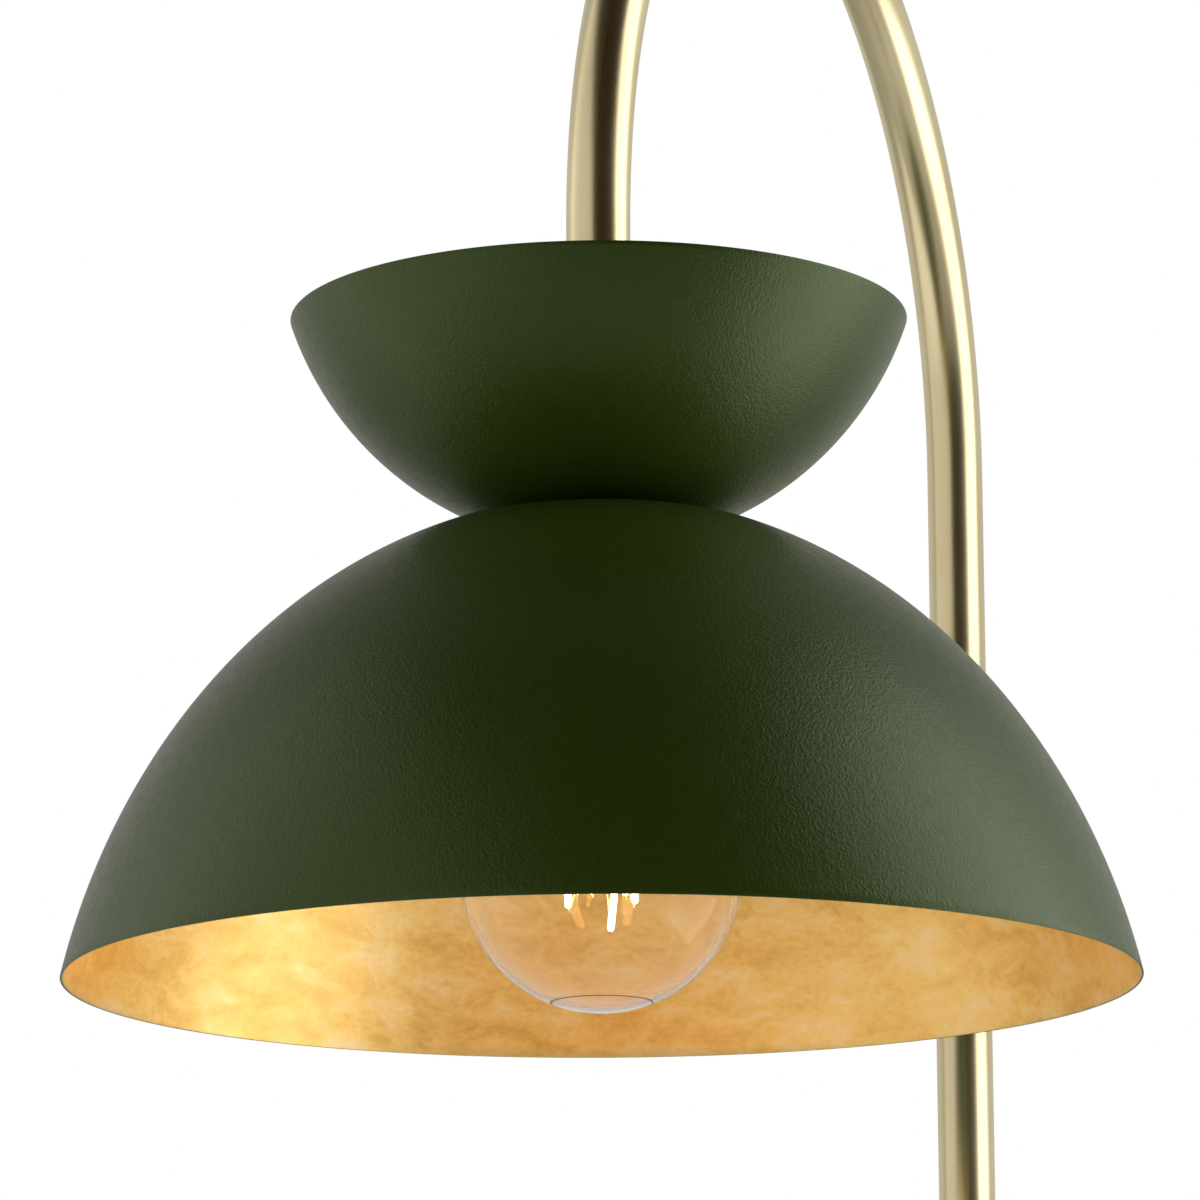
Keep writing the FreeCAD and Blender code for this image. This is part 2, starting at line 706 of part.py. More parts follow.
def shadeFixings():
    """Hollow nipple through both shades, with the washers and the nut that clamp them."""
    nippleLow = capTop - 3
    nippleTop = waist + 9
    bowlWasher = 15
    domeWasher = 18
    acrossFlats = 17
    ring("shade_nipple", dim.nippleBore, dim.nippleRadius, nippleTop - nippleLow, dim.reach, nippleLow)
    ring("bowl_washer", dim.nippleRadius, bowlWasher, bowlWasherThick, dim.reach, waist + dim.bowlWall)
    ring("dome_washer", dim.nippleRadius, domeWasher, washerThick, dim.reach, nutTop)
    hexagon("nipple_nut", acrossFlats, dim.nippleRadius, nutThick, dim.reach, capTop)


# ---- lampholder ----------------------------------------------------------------------

skirtLow = capTop - 48       # open mouth of the holder, just over the globe's neck


def lampholder():
    """Cap, skirt, insulator, threaded shell and centre contact."""
    outer = dim.holderRadius
    skin = Size(1.5)
    capHeight = Size(22)
    shoulder = outer - skin
    roof = capHeight - 3
    turned("holder_cap", [
        (dim.nippleRadius, roof), (shoulder, roof), (shoulder, 0), (outer, 0), (outer, capHeight - skin),
        (shoulder, capHeight), (dim.nippleRadius, capHeight)], dim.reach, capTop - capHeight)
    step = capTop - capHeight - skirtLow
    mouth = 17
    tuck = 7                 # how far the skirt goes up inside the cap
    turned("holder_skirt", [
        (mouth, 0), (outer, 0), (outer, step), (shoulder, step), (shoulder, step + tuck), (mouth, step + tuck)],
        dim.reach, skirtLow)
    coreLow = capTop - 15
    coreBore = 1.5
    ring("holder_core", coreBore, shoulder - 0.1, 8, dim.reach, coreLow)
    shellLow = capLow + clear
    ring("holder_shell", 13.7, 14.2, coreLow - shellLow, dim.reach, shellLow)
    contactHeight = coreLow - bulbTip
    turned("holder_contact", [
        (0, 0), (3, 0), (4.5, 1.5), (4.5, contactHeight), (0, contactHeight)], dim.reach, bulbTip)


# ---- bulb ----------------------------------------------------------------------------

glassWall = Size(0.8)
neckRadius = Size(13.1)
flareRadius = Size(34)
flareHeight = Size(31)
capRadius = Size(13.65)
stemHeight = Size(42)        # glass stem, below the cap's edge


def bulbGlass():
    """Clear globe with a flared neck, hollow and open at the neck."""
    mouth = 7.5
    flareLow = capLow - flareHeight
    outside = joined("bulb_outside", [
        ball("bulb_outer_ball", dim.bulbRadius),
        cone("bulb_outer_neck", flareRadius, neckRadius, flareHeight, flareLow),
        rod("bulb_outer_mouth", neckRadius, mouth, dim.reach, 0, capLow)])
    inside = joined("bulb_inside", [
        ball("bulb_inner_ball", dim.bulbRadius - glassWall),
        cone("bulb_inner_neck", flareRadius - glassWall, neckRadius - glassWall, flareHeight, flareLow),
        rod("bulb_inner_mouth", neckRadius - glassWall, mouth + 1, dim.reach, 0, capLow)])
    keep(cutAway("bulb_glass", outside, inside), "bulb_glass")


def ball(name, radius):
    solid = doc.addObject("Part::Sphere", name)
    bind(solid, Radius=radius)
    bind(solid, **{"Placement.Base.x": dim.reach, "Placement.Base.z": bulbCentre})
    return solid


def cone(name, lowRadius, highRadius, height, level):
    solid = doc.addObject("Part::Cone", name)
    bind(solid, Radius1=lowRadius, Radius2=highRadius, Height=height)
    bind(solid, **{"Placement.Base.x": dim.reach, "Placement.Base.z": level})
    return solid


def bulbCap():
    """Screw cap with its black insulator and contact."""
    capHeight = Size(20)
    contactRadius = Size(5)
    contactHeight = Size(1.5)
    insulatorHeight = capLength - capHeight - contactHeight
    ring("bulb_cap", capRadius - 0.5, capRadius, capHeight, dim.reach, capLow)
    turned("bulb_insulator", [
        (0, 0), (capRadius, 0), (contactRadius, insulatorHeight), (0, insulatorHeight)],
        dim.reach, capLow + capHeight)
    turned("bulb_contact", [
        (0, 0), (contactRadius, 0), (contactRadius - contactHeight, contactHeight), (0, contactHeight)],
        dim.reach, bulbTip - contactHeight)


def bulbInside():
    """Glass stem, upright light filaments in a ring, and the wires that carry them."""
    filamentCount = 6
    filamentRadius = 0.95
    filamentLength = 36
    filamentRing = 11.5
    filamentLow = dim.rimLevel + 19
    hubLow = filamentLow + filamentLength
    stemFoot = capLow - stemHeight
    stemNarrow = 3.4
    stemWide = 11
    flareFrom = 30
    flareTo = 44
    stemTop = stemHeight + 4
    turned("bulb_stem", [
        (0, 0), (stemNarrow, 0), (stemNarrow, flareFrom), (stemWide, flareTo), (stemWide, stemTop), (0, stemTop)],
        dim.reach, stemFoot)
    rods = []
    wires = []
    for index in range(filamentCount):
        angle = math.radians(360 / filamentCount * (index + 0.5))
        x = dim.reach + filamentRing * math.cos(angle)
        y = Size(filamentRing * math.sin(angle))
        rods.append(rod("filament_" + str(index), filamentRadius, filamentLength, x, y, filamentLow))
        turn = Rotation(Vector(0, 0, 1), Vector(-math.cos(angle), -math.sin(angle), 0))
        wires.append(rod("spoke_" + str(index), 0.35, filamentRing, x, y, hubLow + 0.4, turn))
    wires.append(rod("spoke_hub", 0.8, stemFoot - hubLow, dim.reach, 0, hubLow))
    keep(grouped("bulb_filaments", rods), "bulb_filaments")
    keep(joined("bulb_wires", wires), "bulb_wires")


# ---- wiring held inside --------------------------------------------------------------

def leads():
    """The inner lead, from the connector in the base to the lampholder."""
    lead = dim.leadRadius
    coilRadius = 7
    coilBore = 3
    pivotGap = 1.5           # the lead bends here on the real lamp
    passOver = dim.swivelLevel + 10
    ring("coiled_lead", coilBore, coilRadius, dim.slideFoot - 4 - leadRise, z=leadRise)
    keep(rod("pole_lead_rod", lead, passOver - dim.slideFoot, z=dim.slideFoot), "pole_lead")
    start = passOver + dim.runningGap
    arm = bentPipe("arm_lead_pipe", start, None, lead, pivotLevel + pivotGap)
    bind(arm, **{"Placement.Base.z": start})
    keep(arm, "arm_lead")
    headLow = capTop - 7
    keep(rod("head_lead_rod", lead, pivotLevel - pivotGap - headLow, dim.reach, 0, headLow), "head_lead")
    baseLead()


def baseLead():
    """Short bend from the connector, round under the stem and up to the coiled lead."""
    body = doc.addObject("PartDesign::Body", "base_lead")
    bend = Size(6)
    level = Size(5.5)
    path = newSketch(body, "XZ_Plane", "base_lead_path")
    fromBlock = pocketNear + 4
    run = fromBlock - bend
    rise = leadRise - level - bend
    path.addGeometry(Part.LineSegment(Vector(0, 0, 0), Vector(run.value, 0, 0)))
    centre = Vector(run.value, bend.value, 0)
    path.addGeometry(Part.ArcOfCircle(Part.Circle(centre, Vector(0, 0, 1), bend.value), -math.pi / 2, 0))
    path.addGeometry(Part.LineSegment(Vector(run.value + bend.value, bend.value, 0),
                                      Vector(run.value + bend.value, bend.value + rise.value, 0)))
    path.addConstraint(Sketcher.Constraint("Coincident", 0, 2, 1, 1))
    path.addConstraint(Sketcher.Constraint("Coincident", 1, 2, 2, 1))
    pin(path, 0, 1, 0, 0)
    pin(path, 0, 2, run, 0)
    pin(path, 1, 3, run, bend)
    pinOne(path, 1, 2, "DistanceY", bend)
    pin(path, 2, 2, run + bend, bend + rise)
    section = newSketch(body, "YZ_Plane", "base_lead_section")
    circle(section, dim.leadRadius)
    pipe = body.newObject("PartDesign::AdditivePipe", "base_lead_sweep")
    pipe.Profile = section
    pipe.Spine = (path, ["Edge1", "Edge2", "Edge3"])
    pipe.Transition = "Transformed"
    keep(body, "base_lead", minus(fromBlock), level)


# ---- build, check and write ----------------------------------------------------------

for make in (basePad, baseWeight, baseCover, cordGland, stem, terminalBlock,
             lowerPole, guideSleeve, poleCollar, lockKnob, upperPole,
             archArm, tiltFork, tiltTongue, pivotScrews,
             domeShade, upperBowl, shadeFixings, lampholder,
             bulbGlass, bulbCap, bulbInside, leads):
    make()
doc.recompute()

for obj in doc.Objects:
    if "Invalid" in obj.State or "Error" in obj.State:
        raise RuntimeError(obj.Name + " (" + obj.Label + ") failed: " + str(obj.State))

os.makedirs("parts", exist_ok=True)
for part in parts:
    shape = part.Shape
    if shape.isNull() or not shape.isValid() or not shape.Solids:
        raise RuntimeError(part.Label + " has no valid solid")
    shape.exportStep(os.path.join("parts", part.Label + ".step"))
    box = shape.BoundBox
    print(part.Label, len(shape.Solids), round(shape.Volume), [round(v, 1) for v in (
        box.XMin, box.XMax, box.YMin, box.YMax, box.ZMin, box.ZMax)])
print(len(parts), "sub-parts written")
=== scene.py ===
import math

import bpy
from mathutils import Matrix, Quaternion, Vector


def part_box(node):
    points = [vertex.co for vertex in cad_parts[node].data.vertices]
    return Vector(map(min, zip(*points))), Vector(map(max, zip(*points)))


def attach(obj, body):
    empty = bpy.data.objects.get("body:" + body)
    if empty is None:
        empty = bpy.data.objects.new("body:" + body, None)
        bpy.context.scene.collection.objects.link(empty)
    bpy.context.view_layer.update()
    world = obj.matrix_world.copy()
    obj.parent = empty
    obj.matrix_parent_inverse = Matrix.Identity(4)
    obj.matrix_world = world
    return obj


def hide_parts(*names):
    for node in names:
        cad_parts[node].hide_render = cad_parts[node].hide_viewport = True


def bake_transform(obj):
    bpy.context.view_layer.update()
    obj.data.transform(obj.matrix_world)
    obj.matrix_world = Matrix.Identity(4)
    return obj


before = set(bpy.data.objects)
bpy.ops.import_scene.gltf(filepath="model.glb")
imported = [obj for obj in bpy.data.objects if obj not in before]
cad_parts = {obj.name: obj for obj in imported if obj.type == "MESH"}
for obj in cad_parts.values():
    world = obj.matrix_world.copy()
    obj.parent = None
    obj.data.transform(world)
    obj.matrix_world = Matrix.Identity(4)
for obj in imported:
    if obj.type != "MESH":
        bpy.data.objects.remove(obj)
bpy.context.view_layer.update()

mm = 0.001


# node helpers shared by every finish

class Finish:
    # a material with its Principled shader, and short ways to add nodes to it
    # colour and roughness are the plain values under the textures
    def __init__(self, name, colour, roughness, metallic=0.0, ior=1.5):
        self.material = bpy.data.materials.new(name)
        self.material.use_nodes = True
        self.nodes = self.material.node_tree.nodes
        self.links = self.material.node_tree.links
        self.shader = self.nodes["Principled BSDF"]
        self.set("Base Color", (*colour, 1.0))
        self.set("Roughness", roughness)
        self.set("Metallic", metallic)
        self.set("IOR", ior)
        self.place = self.nodes.new("ShaderNodeTexCoord").outputs["Object"]

    def set(self, socket, value):
        self.shader.inputs[socket].default_value = value

    def stretched(self, source=None, scale=(1, 1, 1), turn=(0, 0, 0)):
        node = self.nodes.new("ShaderNodeMapping")
        node.inputs["Scale"].default_value = scale
        node.inputs["Rotation"].default_value = turn
        self.links.new(source or self.place, node.inputs["Vector"])
        return node.outputs["Vector"]

    def noise(self, scale, detail=3.0, rough=0.5, source=None, warp=0.0):
        node = self.nodes.new("ShaderNodeTexNoise")
        node.inputs["Scale"].default_value = scale
        node.inputs["Detail"].default_value = detail
        node.inputs["Roughness"].default_value = rough
        node.inputs["Distortion"].default_value = warp
        self.links.new(source or self.place, node.inputs["Vector"])
        return node.outputs["Fac"]

    def stripes(self, scale, warp, source):
        node = self.nodes.new("ShaderNodeTexWave")
        node.inputs["Scale"].default_value = scale
        node.inputs["Distortion"].default_value = warp
        self.links.new(source, node.inputs["Vector"])
        return node.outputs["Fac"]

    def spread(self, value, low, high, fromLow=0.3, fromHigh=0.7):
        node = self.nodes.new("ShaderNodeMapRange")
        node.inputs["From Min"].default_value = fromLow
        node.inputs["From Max"].default_value = fromHigh
        node.inputs["To Min"].default_value = low
        node.inputs["To Max"].default_value = high
        self.links.new(value, node.inputs["Value"])
        return node.outputs["Result"]

    def reckon(self, operation, first, second):
        node = self.nodes.new("ShaderNodeMath")
        node.operation = operation
        for socket, value in zip(node.inputs, (first, second)):
            if isinstance(value, (int, float)):
                socket.default_value = value
            else:
                self.links.new(value, socket)
        return node.outputs[0]

    def tint(self, value, stops):
        node = self.nodes.new("ShaderNodeValToRGB")
        ramp = node.color_ramp
        while len(ramp.elements) < len(stops):
            ramp.elements.new(0.5)
        for element, (spot, colour) in zip(ramp.elements, stops):
            element.position = spot
            element.color = (*colour, 1.0)
        self.links.new(value, node.inputs["Fac"])
        return node.outputs["Color"]

    def colour(self, output):
        self.links.new(output, self.shader.inputs["Base Color"])

    def roughness(self, output):
        self.links.new(output, self.shader.inputs["Roughness"])

    def bump(self, height, strength, distance):
        node = self.nodes.new("ShaderNodeBump")
        node.inputs["Strength"].default_value = strength
        node.inputs["Distance"].default_value = distance
        self.links.new(height, node.inputs["Height"])
        previous = self.shader.inputs["Normal"].links
        if previous:
            self.links.new(previous[0].from_socket, node.inputs["Normal"])
        self.links.new(node.outputs["Normal"], self.shader.inputs["Normal"])


# finishes

powder = {
    "green": (0.038, 0.068, 0.0042),
    "deepGreen": (0.031, 0.057, 0.0034),
    "cloudPerMetre": 9,
    "plainRoughness": 0.37,
    "glossTint": (0.85, 1.0, 0.62, 1.0),
    "roughness": (0.31, 0.38),
    "glossPerMetre": 260,
    "grainPerMetre": 950,    # the powder's pebbling, about a millimetre
    "grainHeight": 0.28 * mm,
    "grainBump": 0.8,
    "swellBump": 0.18,       # a slower swell under the pebbling
}


def powderCoat():
    f = Finish("greenPowderCoat", powder["green"], powder["plainRoughness"])
    f.set("Specular Tint", powder["glossTint"])
    cloud = f.noise(powder["cloudPerMetre"], 3)
    f.colour(f.tint(cloud, [(0.35, powder["deepGreen"]), (0.65, powder["green"])]))
    f.roughness(f.spread(f.noise(powder["glossPerMetre"], 2), *powder["roughness"]))
    f.bump(f.noise(powder["grainPerMetre"], 2.5, 0.6), powder["grainBump"], powder["grainHeight"])
    f.bump(f.noise(powder["grainPerMetre"] / 4, 1.0), powder["swellBump"], powder["grainHeight"])
    return f.material


leaf = {
    "pale": (0.95, 0.77, 0.43),
    "warm": (0.92, 0.65, 0.22),
    "deep": (0.80, 0.50, 0.14),
    "roughness": (0.39, 0.51),
    "plainRoughness": 0.42,
    "squash": 1.9,           # the brush strokes lie across the wall
    "cloudPerMetre": 42,
    "cloudShare": 0.68,      # the rest of the mottling is fine flecks
    "fleckPerMetre": 260,
    "waveHeight": 0.5 * mm,
    "wavePerMetre": 75,
    "fineHeight": 0.12 * mm,
    "finePerMetre": 420,
}


def goldLeaf():
    f = Finish("goldLeaf", leaf["warm"], leaf["plainRoughness"], metallic=1.0)
    strokes = f.stretched(None, (1, 1, leaf["squash"]))
    clouds = f.noise(leaf["cloudPerMetre"], 5, 0.62, source=strokes, warp=0.5)
    flecks = f.noise(leaf["fleckPerMetre"], 5, 0.7, source=strokes, warp=0.6)
    both = f.reckon("ADD", f.reckon("MULTIPLY", clouds, leaf["cloudShare"]),
                    f.reckon("MULTIPLY", flecks, 1 - leaf["cloudShare"]))
    f.colour(f.tint(both, [(0.36, leaf["deep"]), (0.50, leaf["warm"]), (0.66, leaf["pale"])]))
    f.roughness(f.spread(flecks, *leaf["roughness"]))
    f.bump(f.noise(leaf["wavePerMetre"], 4, 0.6, warp=1.0), 0.35, leaf["waveHeight"])
    f.bump(f.noise(leaf["finePerMetre"], 3, 0.6), 0.2, leaf["fineHeight"])
    return f.material


brass = {
    "pale": (0.87, 0.775, 0.48),
    "deep": (0.80, 0.68, 0.40),
    "roughness": (0.26, 0.31),
    "plainRoughness": 0.28,
    "cloudPerMetre": 14,
    "spunRoughness": (0.25, 0.36),
    "spunPlainRoughness": 0.3,
    "spunCloudPerMetre": 11,
    "hairAcross": 900,
    "hairAlong": 6,
    "hairHeight": 0.01 * mm,
    "ringPerMetre": 2200,
    "ringHeight": 0.03 * mm,
}


def brushedBrass(name, scale, coords=None):
    # scale is large across the brushing and small along it
    f = Finish(name, brass["pale"], brass["plainRoughness"], metallic=1.0)
    source = f.nodes.new("ShaderNodeTexCoord").outputs[coords] if coords else f.place
    hair = f.noise(1.0, 3, 0.6, source=f.stretched(source, scale))
    cloud = f.noise(brass["cloudPerMetre"], 3)
    f.colour(f.tint(cloud, [(0.35, brass["deep"]), (0.65, brass["pale"])]))
    both = f.reckon("ADD", f.reckon("MULTIPLY", hair, 0.5), f.reckon("MULTIPLY", cloud, 0.5))
    f.roughness(f.spread(both, *brass["roughness"]))
    f.bump(hair, 0.03, brass["hairHeight"])
    return f.material


def spunBrass(name, centre):
    # fine rings round an upright axis, as a lathe leaves them
    f = Finish(name, brass["pale"], brass["spunPlainRoughness"], metallic=1.0)
    shift = f.nodes.new("ShaderNodeVectorMath")
    shift.operation = "SUBTRACT"
    shift.inputs[1].default_value = (centre.x, centre.y, 0)
    f.links.new(f.place, shift.inputs[0])
    flat = f.nodes.new("ShaderNodeVectorMath")
    flat.operation = "MULTIPLY"
    flat.inputs[1].default_value = (1, 1, 0)
    f.links.new(shift.outputs[0], flat.inputs[0])
    length = f.nodes.new("ShaderNodeVectorMath")
    length.operation = "LENGTH"
    f.links.new(flat.outputs[0], length.inputs[0])
    rings = f.nodes.new("ShaderNodeTexNoise")
    rings.noise_dimensions = "1D"
    rings.inputs["Scale"].default_value = brass["ringPerMetre"]
    rings.inputs["Detail"].default_value = 3
    f.links.new(length.outputs["Value"], rings.inputs["W"])
    cloud = f.noise(brass["spunCloudPerMetre"], 3)
    f.colour(f.tint(cloud, [(0.35, brass["deep"]), (0.65, brass["pale"])]))
    f.roughness(f.spread(rings.outputs["Fac"], *brass["spunRoughness"]))
    f.bump(rings.outputs["Fac"], 0.12, brass["ringHeight"])
    return f.material


glass = {
    "ior": 1.2,              # low, so the lit filaments mirror only faintly in the wall
    "sheen": 1.0,            # the pale bloom inside the globe's edge
    "sheenRoughness": 0.4,
    "smudgePerMetre": 60,
}


def clearGlass(name, tintColour, smudge):
    f = Finish(name, tintColour, 0.0, ior=glass["ior"])
    f.set("Transmission Weight", 1.0)
    f.set("Sheen Weight", glass["sheen"])
    f.set("Sheen Roughness", glass["sheenRoughness"])
    f.roughness(f.spread(f.noise(glass["smudgePerMetre"], 4, 0.6), 0.0, smudge, 0.45, 0.75))
    return f.material


filamentCoat = {
    "light": (0.95, 0.85, 0.45),
    "dark": (0.85, 0.62, 0.2),
    "plain": (0.9, 0.75, 0.3),
    "glow": (1.0, 0.50, 0.14, 1.0),
    "strength": 58.0,
    "grainPerMetre": 2500,
    "grainHeight": 0.05 * mm,
}


def glowing():
    f = Finish("litFilament", filamentCoat["plain"], 0.5)
    f.set("Emission Color", filamentCoat["glow"])
    f.set("Emission Strength", filamentCoat["strength"])
    grains = f.noise(filamentCoat["grainPerMetre"], 2)
    f.colour(f.tint(grains, [(0.3, filamentCoat["dark"]), (0.7, filamentCoat["light"])]))
    f.bump(grains, 0.4, filamentCoat["grainHeight"])
    return f.material


metalGrain = {
    "cloudPerMetre": 70,
    "scratch": (40, 40, 900),    # long across and short along the height
    "height": 0.03 * mm,
}


def metal(name, light, dark, rough):
    f = Finish(name, light, rough[0], metallic=1.0)
    cloud = f.noise(metalGrain["cloudPerMetre"], 4)
    hair = f.noise(1.0, 2, 0.6, source=f.stretched(None, metalGrain["scratch"]))
    f.colour(f.tint(cloud, [(0.3, dark), (0.7, light)]))
    f.roughness(f.spread(hair, *rough))
    f.bump(hair, 0.15, metalGrain["height"])
    return f.material


def plain(name, light, dark, rough, grain, height):
    # moulded, cast and rubber finishes: mottled colour, uneven gloss and a fine grain
    f = Finish(name, light, rough[0])
    f.colour(f.tint(f.noise(35, 4), [(0.3, dark), (0.7, light)]))
    f.roughness(f.spread(f.noise(grain / 3, 2), *rough))
    f.bump(f.noise(grain, 3, 0.6), 0.4, height)
    return f.material


sheath = {
    "light": (0.68, 0.50, 0.19),
    "dark": (0.30, 0.20, 0.06),
    "plain": (0.62, 0.45, 0.16),
    "threadPerMetre": 420,
    "slant": (0.0, 0.8, 0.4),
    "height": 0.2 * mm,
}


def wovenSheath():
    f = Finish("wovenSheath", sheath["plain"], 0.6)
    slant = sheath["slant"]
    one = f.stripes(sheath["threadPerMetre"], 0.4, f.stretched(turn=slant))
    other = f.stripes(sheath["threadPerMetre"], 0.4, f.stretched(turn=[-angle for angle in slant]))
    weave = f.reckon("MAXIMUM", one, other)
    f.colour(f.tint(weave, [(0.2, sheath["dark"]), (0.8, sheath["light"])]))
    f.roughness(f.spread(weave, 0.7, 0.45))
    f.bump(weave, 0.6, sheath["height"])
    return f.material


poleAxis = Vector((0, 0, 0))
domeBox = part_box("dome_shade")
headAxis = (domeBox[0] + domeBox[1]) / 2
headAxis.z = 0

finishes = {
    "powder": powderCoat(),
    "leaf": goldLeaf(),
    "tubeBrass": brushedBrass("satinBrassTube", (brass["hairAcross"], brass["hairAlong"], 1), "UV"),
    "turnedBrass": brushedBrass("turnedBrass", (300, 300, 2500)),
    "spunBase": spunBrass("spunBrassBase", poleAxis),
    "spunHead": spunBrass("spunBrassHolder", headAxis),
    "glass": clearGlass("clearBulbGlass", (1, 1, 1), 0.02),
    "stemGlass": clearGlass("stemGlass", (0.93, 0.96, 0.94), 0.05),
    "filament": glowing(),
    "ink": plain("greyPrint", (0.16, 0.14, 0.12), (0.1, 0.09, 0.08), (0.5, 0.7), 900, 0.02 * mm),
    "nickel": metal("nickelPlate", (0.72, 0.69, 0.64), (0.58, 0.55, 0.5), (0.18, 0.32)),
    "steel": metal("zincSteel", (0.62, 0.62, 0.6), (0.45, 0.46, 0.44), (0.3, 0.45)),
    "iron": plain("castIron", (0.075, 0.075, 0.078), (0.035, 0.034, 0.034), (0.6, 0.8), 500, 0.5 * mm),
    "rubber": plain("footRubber", (0.035, 0.035, 0.036), (0.022, 0.022, 0.022), (0.7, 0.9), 800, 0.15 * mm),
    "nylon": plain("naturalNylon", (0.80, 0.78, 0.70), (0.70, 0.67, 0.58), (0.4, 0.55), 700, 0.05 * mm),
    "phenolic": plain("blackPhenolic", (0.02, 0.019, 0.018), (0.012, 0.011, 0.011), (0.28, 0.42), 700,
                      0.04 * mm),
    "porcelain": plain("glazedPorcelain", (0.84, 0.81, 0.74), (0.77, 0.73, 0.65), (0.12, 0.22), 150,
                       0.08 * mm),
    "sheath": wovenSheath(),
}
print("finishes ready:", len(finishes))


# mesh helpers

def meshPiece(name, verts, faces, finish, uvs=None, sharp=40):
    mesh = bpy.data.meshes.new(name)
    mesh.from_pydata(verts, [], faces)
    mesh.validate()
    if uvs:
        layer = mesh.uv_layers.new(name="along")
        for loop in mesh.loops:
            layer.data[loop.index].uv = uvs[loop.vertex_index]
    mesh.polygons.foreach_set("use_smooth", [True] * len(mesh.polygons))
    mesh.update()
    mesh.set_sharp_from_angle(angle=math.radians(sharp))
    piece = bpy.data.objects.new(name, mesh)
    bpy.context.collection.objects.link(piece)
    mesh.materials.append(finish)
    return piece


def lathe(name, section, axis, finish, steps=160, sharp=40):
    # section is a closed outline of (radius, height), turned about an upright axis
    # corners go anticlockwise with radius across and height up; a point on the axis closes to one vertex
    verts = []
    rows = []
    for radius, height in section:
        if radius < 1e-7:
            rows.append([len(verts)] * steps)
            verts.append((axis.x, axis.y, height))
            continue
        rows.append(list(range(len(verts), len(verts) + steps)))
        for step in range(steps):
            turn = math.tau * step / steps
            verts.append((axis.x + radius * math.cos(turn), axis.y + radius * math.sin(turn), height))
    faces = []
    for index, row in enumerate(rows):
        after = rows[(index + 1) % len(rows)]
        if row[0] == row[1] and after[0] == after[1]:
            continue
        for step in range(steps):
            nextStep = (step + 1) % steps
            corners = [row[step], row[nextStep], after[nextStep], after[step]]
            faces.append([c for place, c in enumerate(corners) if c not in corners[:place]])
    return meshPiece(name, verts, faces, finish, sharp=sharp)


def rounded(corners, radius, pieces=4):
    # soften every corner of a closed (radius, height) outline that isn't on the axis
    smooth = []
    count = len(corners)
    for index, here in enumerate(corners):
        back = Vector(corners[index - 1]) - Vector(here)
        ahead = Vector(corners[(index + 1) % count]) - Vector(here)
        reach = min(radius, back.length * 0.45, ahead.length * 0.45)
        if here[0] < 1e-7 or reach < 1e-6:
            smooth.append(tuple(here))
            continue
        start = Vector(here) + back.normalized() * reach
        end = Vector(here) + ahead.normalized() * reach
        for step in range(pieces + 1):
            t = step / pieces
            point = start * (1 - t) ** 2 + Vector(here) * 2 * t * (1 - t) + end * t ** 2
            smooth.append(tuple(point))
    return smooth


def sweptTube(name, path, outer, inner, finish, steps=64):
    # a pipe along an open path that lies in the XZ plane, with squared ends
    verts = []
    uvs = []
    rows = []
    length = 0.0
    side = Vector((0, 1, 0))
    seamShift = 0.001    # radians, so the brushing meets itself inside a face
    for index, point in enumerate(path):
        ahead = path[min(index + 1, len(path) - 1)]
        behind = path[max(index - 1, 0)]
        forward = (ahead - behind).normalized()
        out = side.cross(forward).normalized()
        if index:
            length += (point - path[index - 1]).length
        for radius in (outer, inner):
            row = []
            for step in range(steps + 1):
                turn = math.tau * step / steps
                if step == steps:
                    row.append(row[0])
                    continue
                row.append(len(verts))
                verts.append(point + (out * math.cos(turn) + side * math.sin(turn)) * radius)
                uvs.append((radius * abs((turn + seamShift) % math.tau - math.pi), length))
            rows.append(row)
    faces = []
    outers = rows[0::2]
    inners = rows[1::2]
    for step in range(steps):
        for index in range(len(path) - 1):
            low, high = outers[index], outers[index + 1]
            faces.append([low[step], low[step + 1], high[step + 1], high[step]])
            low, high = inners[index], inners[index + 1]
            faces.append([low[step + 1], low[step], high[step], high[step + 1]])
        faces.append([outers[0][step + 1], outers[0][step], inners[0][step], inners[0][step + 1]])
        faces.append([outers[-1][step], outers[-1][step + 1], inners[-1][step + 1], inners[-1][step]])
    return meshPiece(name, verts, faces, finish, uvs)


def standFor(piece, body, node=None):
    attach(piece, body)
    if node:
        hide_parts(node)


# shades: green skins outside, gold leaf linings inside

shade = {
    "skin": 0.55 * mm,
    "lining": 0.5 * mm,
    "gap": 0.02 * mm,
    "hole": 5.1 * mm,
    "points": 72,
    "steps": 224,
    "skinCorner": 1.6 * mm,      # fillet between the wall and the flat
    "liningCorner": 1.2 * mm,
    "cornerPoints": 5,
    "lipPoints": 6,
    "lipRound": 0.5,             # how far the rim's edge bulges, of a half circle
}
# each wall is part of an ellipse, whose centre is measured up from the rim
domeShape = {"semiHeight": 221 * mm, "centre": -58.5 * mm, "up": 1}
bowlShape = {"semiHeight": 112.6 * mm, "centre": 36.8 * mm, "up": -1}


def shadeCurve(shape, rimRadius, rimLevel, flatLevel, inset):
    # points from the rim to the flat, moved inwards by inset
    ratio = math.sqrt(1 - (shape["centre"] / shape["semiHeight"]) ** 2)
    tall = shape["semiHeight"] - inset
    wide = rimRadius / ratio - inset
    centre = rimLevel + shape["centre"]
    flat = flatLevel - shape["up"] * inset
    first = math.asin((rimLevel - centre) / tall)
    last = math.asin((flat - centre) / tall)
    points = []
    for index in range(shade["points"] + 1):
        turn = first + (last - first) * index / shade["points"]
        points.append((wide * math.cos(turn), centre + tall * math.sin(turn)))
    return points


